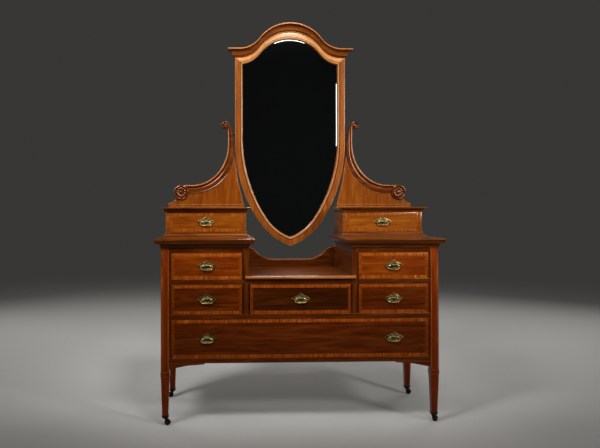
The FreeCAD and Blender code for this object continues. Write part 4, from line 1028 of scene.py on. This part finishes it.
def mirror_cornice():
    """Cornice section carried over the arched head and returned at both ends."""
    section = [(-26, 0), (33.2, 0), (34, 0.8), (34, 4.6), (33.2, 5.4), (31, 6.2)]
    section += [(31 - 17 * math.sin(a), 24 - 17.4 * math.cos(a)) for a in bend(0, math.pi / 2, 8)]
    section += [(12.6, 24.2), (12.6, 26)]
    section += [(3 + 9.6 * math.cos(a), 26 + 9.6 * math.sin(a)) for a in bend(0, math.pi / 2, 7)[1:]]
    section += [(2, 35.8), (2, 40), (-26, 40), (-26, 0)]
    rows = []
    for reach, drop in section:
        half = OUTER["half"] + reach
        front = FRAME_FRONT - reach
        row = [(-half, FRAME_BACK, CORNICE_APEX - HEAD_RISE - drop)]
        row += [(x, front, head(x, CORNICE_APEX) - drop) for x in bend(-half, half, 90)]
        row += [(half, FRAME_BACK, CORNICE_APEX - HEAD_RISE - drop)]
        rows.append(row)
    shape = bmesh.new()
    loft(shape, rows)
    for end in (0, -1):
        shape.faces.new([shape.verts.new(Vector(row[end]) * MM) for row in rows[:-1]])
    closed(shape)
    # The top edge takes the pale arris finish, a painted highlight; the groove takes the near-black finish,
    # painted shade; the rest is the lightened cornice wood, painted light.
    lip_low, lip_out = 6, 22
    groove_top, groove_low, groove_out = 23, 27, 10
    for face in shape.faces:
        centre = face.calc_center_median() / MM
        drop = head(centre.x, CORNICE_APEX) - centre.z
        out = FRAME_FRONT - centre.y
        if drop < lip_low and out > lip_out:
            face.material_index = 1
        elif groove_top < drop < groove_low and out > groove_out:
            face.material_index = 2
    return piece(shape, "mirror_cornice_moulded", "mirror_cornice", [carved, moulded[3], shadow],
                 ["mirror_cornice"], 26)


def backboard_screws():
    """Slotted brass screws down both sides of the mirror's backboard."""
    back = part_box("mirror_backboard")[1].y / MM
    x, bottom, spacing, count = 228, 1260, 145, 3
    profile = ((0.3, back - 1), (4.2, back - 0.9), (4.2, back + 0.2), (3.4, back + 0.9), (0.3, back + 1.2))
    whole = bmesh.new()
    for side in (-1, 1):
        screw = bmesh.new()
        turned(screw, (side * x, bottom), profile, 20)
        slot = block([[(side * x + a, y, bottom + b) for a, b in ((-6, -0.6), (6, -0.6), (6, 0.6), (-6, 0.6))]
                      for y in (back + 0.4, back + 3)])
        pour(grown(ROW, cut_from(closed(screw), slot),
                   {"Count": count, "Step": (0, 0, spacing * MM), "Material": brass}), whole)
    return piece(whole, "backboard_screws", "mirror_backboard", [brass], crisp=35)


mirror_frame()
mirror_plate()
mirror_cornice()
backboard_screws()
eased("mirror_pivots", castor_brass, 0.4)


# Supports: a hollow-moulded scroll ends in a volute beside the mirror and in a patera at the outer corner.

SCROLL_SECTION = ((0, SCROLL_BACK), (0, 221), (0.015, 219.6), (0.05, 218.8), (0.085, 219.4), (0.1, 221.4),
                  (0.2, 221.2), (0.32, 220.4), (0.46, 220.2), (0.56, 221), (0.63, 223.4), (0.7, 226.6),
                  (0.75, 227), (0.79, 224.6), (0.81, 220), (0.84, 217.4), (0.89, 216), (0.95, 216.2),
                  (0.985, 217.8), (1, 220.6), (1, SCROLL_BACK))
LIP = range(14, 19)
# Lathe profiles, radius and depth: the volute's eye and disc, the patera's dish with its rim, and its boss.
VOLUTE_EYE = ((0.3, 213.6), (3, 214), (5.6, 215.4), (7.4, 217.6), (8, 220.4), (8, 250), (0.3, 250.4))
VOLUTE_DISC = ((0.3, 223.6), (19.6, 224), (20, 225), (20, 249), (19.6, 250), (0.3, 250.2))
PATERA_RIM = ((0.3, 219.4), (10, 219.8), (20, 220.6), (23.6, 221.6), (25.2, 219.6), (26.4, 216.4),
              (28.4, 213.6), (31, 212.3), (33.4, 213.2), (35.2, 215.6), (PATERA_RADIUS, 219),
              (PATERA_RADIUS, SCROLL_BACK - 0.6), (PATERA_RADIUS - 0.6, SCROLL_BACK), (0.3, SCROLL_BACK))
PATERA_BOSS = ((0.2, 212), (3, 212.3), (6, 213.5), (8.2, 215.6), (9, 217.6), (8.6, 218.6), (10.4, 219),
               (10.8, 221.6), (0.3, 222))
PETALS, PETAL_DEPTH = 10, 218.6
PETAL_START, PETAL_LENGTH, PETAL_HALF, PETAL_FOOT = 11, 15.5, 7.4, 2.5


def scroll_edges():
    """Pairs of points along the scroll: its edge on the panel and the one away from it."""
    tail_low, tail_high = BELLY_Z - PANEL_FALL, SPRING_Z - AWAY_FALL
    pairs = [((x, tail_low), (x, tail_high)) for x in bend(PATERA.x, TAIL_X, 5)[:-1]]
    for turn in bend(math.pi / 2, 0, 30):
        panel = (TAIL_X - PANEL_RUN * math.cos(turn), BELLY_Z - PANEL_FALL * math.sin(turn))
        away = (TAIL_X - AWAY_RUN * math.cos(turn), SPRING_Z - AWAY_FALL * math.sin(turn))
        pairs.append((panel, away))
    start_panel, start_away = Vector(pairs[-1][0]), Vector(pairs[-1][1])
    end_panel = VOLUTE - Vector((VOLUTE_RADIUS, 0))
    end_away = VOLUTE - Vector((VOLUTE_RADIUS - VOLUTE_BAND, 0))
    for share in bend(0, 1, 14)[1:]:
        lean = share * share * share
        rise = [start.y + (end.y - start.y) * share
                for start, end in ((start_panel, end_panel), (start_away, end_away))]
        pairs.append(((start_panel.x + (end_panel.x - start_panel.x) * lean, rise[0]),
                      (start_away.x + (end_away.x - start_away.x) * lean * share, rise[1])))
    for share in bend(0, 1, 40)[1:]:
        turn = math.pi - VOLUTE_TURN * share
        outer = VOLUTE_RADIUS - VOLUTE_SHRINK * share
        inner = outer - VOLUTE_BAND + BAND_SHRINK * share
        ray = Vector((math.cos(turn), math.sin(turn)))
        pairs.append((tuple(VOLUTE + ray * outer), tuple(VOLUTE + ray * inner)))
    return pairs


def petal():
    """One leaf of the patera, hollowed along its middle, at the top of the circle."""
    shape = bmesh.new()
    rows = []
    for share in bend(0, 1, 6):
        length = PETAL_START + PETAL_LENGTH * share
        half = PETAL_HALF * math.sin(math.pi * min(0.97, 0.16 + 0.84 * share)) ** 0.8
        rows.append([(half * across, -1.2 + 2.4 * across ** 2 - 2.6 * math.sin(math.pi * share), length)
                     for across in (-1, -0.6, 0, 0.6, 1)])
    loft(shape, rows)
    loft(shape, [[(x, PETAL_FOOT, z) for x, _, z in rows[0]], rows[0]])
    loft(shape, [rows[-1], [(x, PETAL_FOOT, z) for x, _, z in rows[-1]]])
    for edge in (0, -1):
        side = [row[edge] for row in rows]
        loft(shape, [side, [(x, PETAL_FOOT, z) for x, _, z in side]])
    return closed(shape)


def support_scroll():
    """Both scrolls, with their volutes, paterae and rosettes."""
    scroll = bmesh.new()
    pairs = scroll_edges()
    rows = [[(a + (c - a) * share, y, b + (d - b) * share) for (a, b), (c, d) in pairs]
            for share, y in SCROLL_SECTION]
    faces = loft(scroll, rows + rows[:1])
    for index, face in enumerate(faces):
        band = index // (len(pairs) - 1)
        face.material_index = 1 if band in LIP else 0
    for end in (0, -1):
        scroll.faces.new([scroll.verts.new(Vector(row[end]) * MM) for row in rows])
    closed(scroll)
    turned(scroll, VOLUTE, VOLUTE_EYE, 28)
    turned(scroll, VOLUTE, VOLUTE_DISC, 40)
    turned(scroll, PATERA, PATERA_RIM, 56)
    turned(scroll, PATERA, PATERA_BOSS, 28)
    leaves = grown(ROSETTE, petal(), {"Count": PETALS, "Material": painted_shade_carving})
    leaves.materials.clear()
    leaves.transform(Matrix.Translation(Vector((PATERA.x, PETAL_DEPTH, PATERA.y)) * MM))
    pour(leaves, scroll)
    bmesh.ops.recalc_face_normals(scroll, faces=scroll.faces[:])
    # All but the lip take the darkened carving wood, painted shade; the lip's pale finish is partly a painted
    # highlight.
    return piece(with_twin(scroll), "support_scrolls_carved", "support_scrolls", [painted_shade_carving, carved_lip],
                 ["support_scrolls"], 32)


support_scroll()


# Castors: blackened cups, horns and wheels, with the brass showing where they rub.

eased("castor_sockets", castor_brass, 0.5)
for corner in CORNERS:
    eased(f"{corner}_castor_horn", castor_brass, 0.5)
    eased(f"{corner}_castor_wheel", castor_brass, 0.5)


# Inlay

PANEL_FRONT = 224
LEG_FRONT = -235
LEG_LINES = (552.6, 578.4)
LEG_FOOT_LINE, LEG_TOP_LINE = 230, 731
LEG_MIDDLES = ((-565.5, -217.5), (565.5, -217.5), (-565.5, 239.5), (565.5, 239.5))
COLLAR_HALF = 18.4
COLLAR_TOP, COLLAR_CORE, COLLAR_LOW = 222, 213, 204
STRING, THIN_STRING = 2.2, 1.5
LINE_GAP, LINE_RADIUS = 2.5, 40

lines = []
for side in (-1, 1):
    for x in LEG_LINES:
        lines.append([(side * x, LEG_FRONT, LEG_FOOT_LINE), (side * x, LEG_FRONT, LEG_TOP_LINE)])
inlay("leg_stringing", "legs", lines, STRING, aged_boxwood)

slant = [(227, 921), (255.5, 1037), (264.2, 1100), (270.5, 1143)]
under_scroll = [(TAIL_X - (PANEL_RUN + LINE_GAP) * math.cos(turn),
                 BELLY_Z - (PANEL_FALL + LINE_GAP) * math.sin(turn))
                for turn in bend(math.radians(8), math.pi / 2, 22)]
under_scroll += [(PATERA.x + LINE_RADIUS * math.cos(turn), PATERA.y + LINE_RADIUS * math.sin(turn))
                 for turn in bend(math.radians(190), math.radians(292), 12)]
for name, line, finish in (("support_stringing", slant + under_scroll, slip),
                           ("support_base_line", [(227, 921), (582, 921)], slip),
                           ("support_foot_line", [(224, 909.4), (582, 909.4)], aged_boxwood)):
    lines = [[(side * x, PANEL_FRONT, z) for x, z in line] for side in (-1, 1)]
    inlay(name, "mirror_supports", lines, THIN_STRING, finish)


def collar_ring(level, grow=0.0):
    """Squares round the four legs at a level."""
    half = COLLAR_HALF + grow
    rings = []
    for x, y in LEG_MIDDLES:
        corners = ((-half, -half), (half, -half), (half, half), (-half, half), (-half, -half))
        rings.append([(x + a, y + b, level) for a, b in corners])
    return rings


inlay("collar_lines", "legs", collar_ring(COLLAR_LOW) + collar_ring(COLLAR_TOP), THIN_STRING, aged_boxwood)
inlay("collar_core", "legs", collar_ring(COLLAR_CORE, -0.4), THIN_STRING, rosewood)

# A bead scratched along the hollow of the gallery, just inside its edge; its pale finish is a painted
# highlight along the bead.
GALLERY_FLAT, GALLERY_LOW, GALLERY_RADIUS, GALLERY_TURN = 80, 37, 116.5, math.radians(50)
GALLERY_INSET = 5
gallery_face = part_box("well_gallery")[0].y / MM
hollow_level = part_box("well_shelf")[1].z / MM + GALLERY_LOW + GALLERY_RADIUS
reach = GALLERY_RADIUS + GALLERY_INSET
sweep = [(GALLERY_FLAT + reach * math.sin(turn), gallery_face, hollow_level - reach * math.cos(turn))
         for turn in bend(GALLERY_TURN, 0, 16)]
sweep += [(-x, y, z) for x, y, z in reversed(sweep)]
inlay("gallery_bead", "well_gallery", [sweep], THIN_STRING, moulded[3])


# Stage: a pale floor, soft light, and a dark card behind the camera for the glass to reflect.

BACKDROP = linear("#e4e2de")
BACKDROP_LEVEL, FILL_LEVEL = 0.05, 0.08


def rays_that_see(tree):
    """1 for rays of the eye, of gloss and of glass; 0 for light that bounces."""
    rays = add(tree, "ShaderNodeLightPath").outputs
    seen = add(tree, "ShaderNodeMath", {0: rays["Is Camera Ray"], 1: rays["Is Glossy Ray"]},
               operation="MAXIMUM")
    return add(tree, "ShaderNodeMath", {0: seen.outputs[0], 1: rays["Is Transmission Ray"]},
               operation="MAXIMUM").outputs[0]


def floor_paint():
    """Matt pale paint that falls away to the tone of the backdrop far off, so that no skyline shows; the
    fall-off also paints a pool of light round the table.

    What bounces from it comes off a darker tone, so that the floor doesn't light the table from below.
    """
    material, tree, spot = bare_material("pale_floor_paint")
    mottle = add(tree, "ShaderNodeTexNoise", {"Vector": spot, "Scale": 1.2, "Detail": 2.0})
    rough = add(tree, "ShaderNodeMapRange", {"Value": mottle.outputs[0], "To Min": 0.7, "To Max": 0.8})
    tone = add(tree, "ShaderNodeMix", {0: rays_that_see(tree), 6: linear("#302f2d"), 7: linear("#cfcdc9")},
               data_type="RGBA")
    paint = add(tree, "ShaderNodeBsdfPrincipled",
                {"Base Color": tone.outputs[2], "Roughness": rough.outputs[0], "Specular IOR Level": 0.2})
    far = add(tree, "ShaderNodeVectorMath", {0: spot}, operation="LENGTH")
    fade = add(tree, "ShaderNodeMapRange", {"Value": far.outputs["Value"], "From Min": 1.6, "From Max": 8.0},
               interpolation_type="SMOOTHERSTEP")
    glow = add(tree, "ShaderNodeEmission", {"Color": BACKDROP, "Strength": BACKDROP_LEVEL})
    surface = add(tree, "ShaderNodeMixShader", {0: fade.outputs[0], 1: paint.outputs[0], 2: glow.outputs[0]})
    add(tree, "ShaderNodeOutputMaterial", {"Surface": surface.outputs[0]})
    return material


def card_paint():
    """Dead black card with a faint blue mottle, for the glass to show."""
    material, tree, spot = bare_material("black_card")
    mottle = add(tree, "ShaderNodeTexNoise", {"Vector": spot, "Scale": 0.7, "Detail": 2.0})
    tone = add(tree, "ShaderNodeValToRGB", {0: mottle.outputs[0]}, [(0.35, "#040505"), (0.7, "#131719")])
    shader = add(tree, "ShaderNodeBsdfPrincipled", {"Base Color": tone.outputs[0], "Roughness": 0.9})
    add(tree, "ShaderNodeOutputMaterial", {"Surface": shader.outputs[0]})
    return material


def sheet(name, corners, finish):
    """A flat piece of the stage."""
    mesh = bpy.data.meshes.new(name)
    mesh.from_pydata(corners, [], [range(len(corners))])
    mesh.materials.append(finish)
    made = put(name, mesh)
    return made


REACH = 40
CARD_HALF, CARD_PLACE, CARD_TOP = 6, -3.6, 6
sheet("studio_floor", [(-REACH, -REACH, 0), (REACH, -REACH, 0), (REACH, REACH, 0), (-REACH, REACH, 0)],
      floor_paint())
card = sheet("dark_card", [(-CARD_HALF, CARD_PLACE, 0), (CARD_HALF, CARD_PLACE, 0),
                           (CARD_HALF, CARD_PLACE, CARD_TOP), (-CARD_HALF, CARD_PLACE, CARD_TOP)],
             card_paint())
card.visible_camera = False
card.visible_diffuse = False
card.visible_shadow = False
card.visible_transmission = False

world = bpy.data.worlds.new("studio")
world.use_nodes = True
air = world.node_tree
air.nodes.clear()
strength = add(air, "ShaderNodeMapRange", {"Value": rays_that_see(air), "To Min": FILL_LEVEL,
                                           "To Max": BACKDROP_LEVEL})
sky = add(air, "ShaderNodeBackground", {"Color": BACKDROP, "Strength": strength.outputs[0]})
add(air, "ShaderNodeOutputWorld", {"Surface": sky.outputs[0]})
bpy.context.scene.world = world


def lamp(name, place, target, width, height, power, beam=180):
    """A soft box aimed at a point; a beam under 180 degrees falls off to the sides."""
    light = bpy.data.lights.new(name, "AREA")
    light.shape = "RECTANGLE"
    light.size = width
    light.size_y = height
    light.spread = math.radians(beam)
    light.energy = power
    made = put(name, light)
    made.location = place
    made.rotation_euler = (Vector(target) - Vector(place)).to_track_quat("-Z", "Y").to_euler()


lamp("key_light", (0.2, -1.75, 3.1), (0, 0, 1.75), 0.6, 0.8, 10, 60)
lamp("frieze_light", (0.19, -1.9, 2.38), (0, 0.22, 1.72), 0.6, 0.14, 1.6, 60)
lamp("head_light", (0.2, -1.9, 2.66), (0, 0.2, 1.7), 0.6, 0.6, 4)
lamp("left_light", (-1.6, -1.7, 2.7), (-0.4, 0, 1.2), 1.0, 1.0, 8, 45)
lamp("right_light", (1.95, -2.25, 1.71), (0.45, -0.2, 1.0), 0.5, 0.57, 4.5, 45)
lamp("edge_light", (1.2, -2.62, 1.71), (0.2, 0.2, 1.25), 0.5, 0.57, 2)
lamp("top_light", (0.0, -1.1, 3.5), (0, 0, 1.0), 2.4, 1.2, 12)
for name, side in (("rear_left_light", -1), ("rear_right_light", 1)):
    lamp(name, (side * 2.8, 2.8, 2.2), (0, 0, 0.9), 1.6, 1.6, 26)

# Camera at the photograph's viewpoint
CAMERA = Vector((-0.32765, -3.31558, 0.91322))
YAW, PITCH, ROLL = math.radians(2.34), math.radians(0.53), math.radians(-0.1)
right = Vector((math.cos(YAW), -math.sin(YAW), 0))
ahead = Vector((math.sin(YAW) * math.cos(PITCH), math.cos(YAW) * math.cos(PITCH), math.sin(PITCH)))
up = right.cross(ahead)
level = right * math.cos(ROLL) + up * math.sin(ROLL)
plumb = up * math.cos(ROLL) - right * math.sin(ROLL)
lens = bpy.data.cameras.new("viewpoint")
lens.sensor_width = 36
lens.lens = 44.285
lens.shift_x = 0.0794
lens.shift_y = -0.0414
viewer = put("viewpoint", lens)
viewer.matrix_world = Matrix.Translation(CAMERA) @ Matrix((level, plumb, -ahead)).transposed().to_4x4()
bpy.context.scene.camera = viewer
bpy.context.scene.view_settings.view_transform = "Standard"
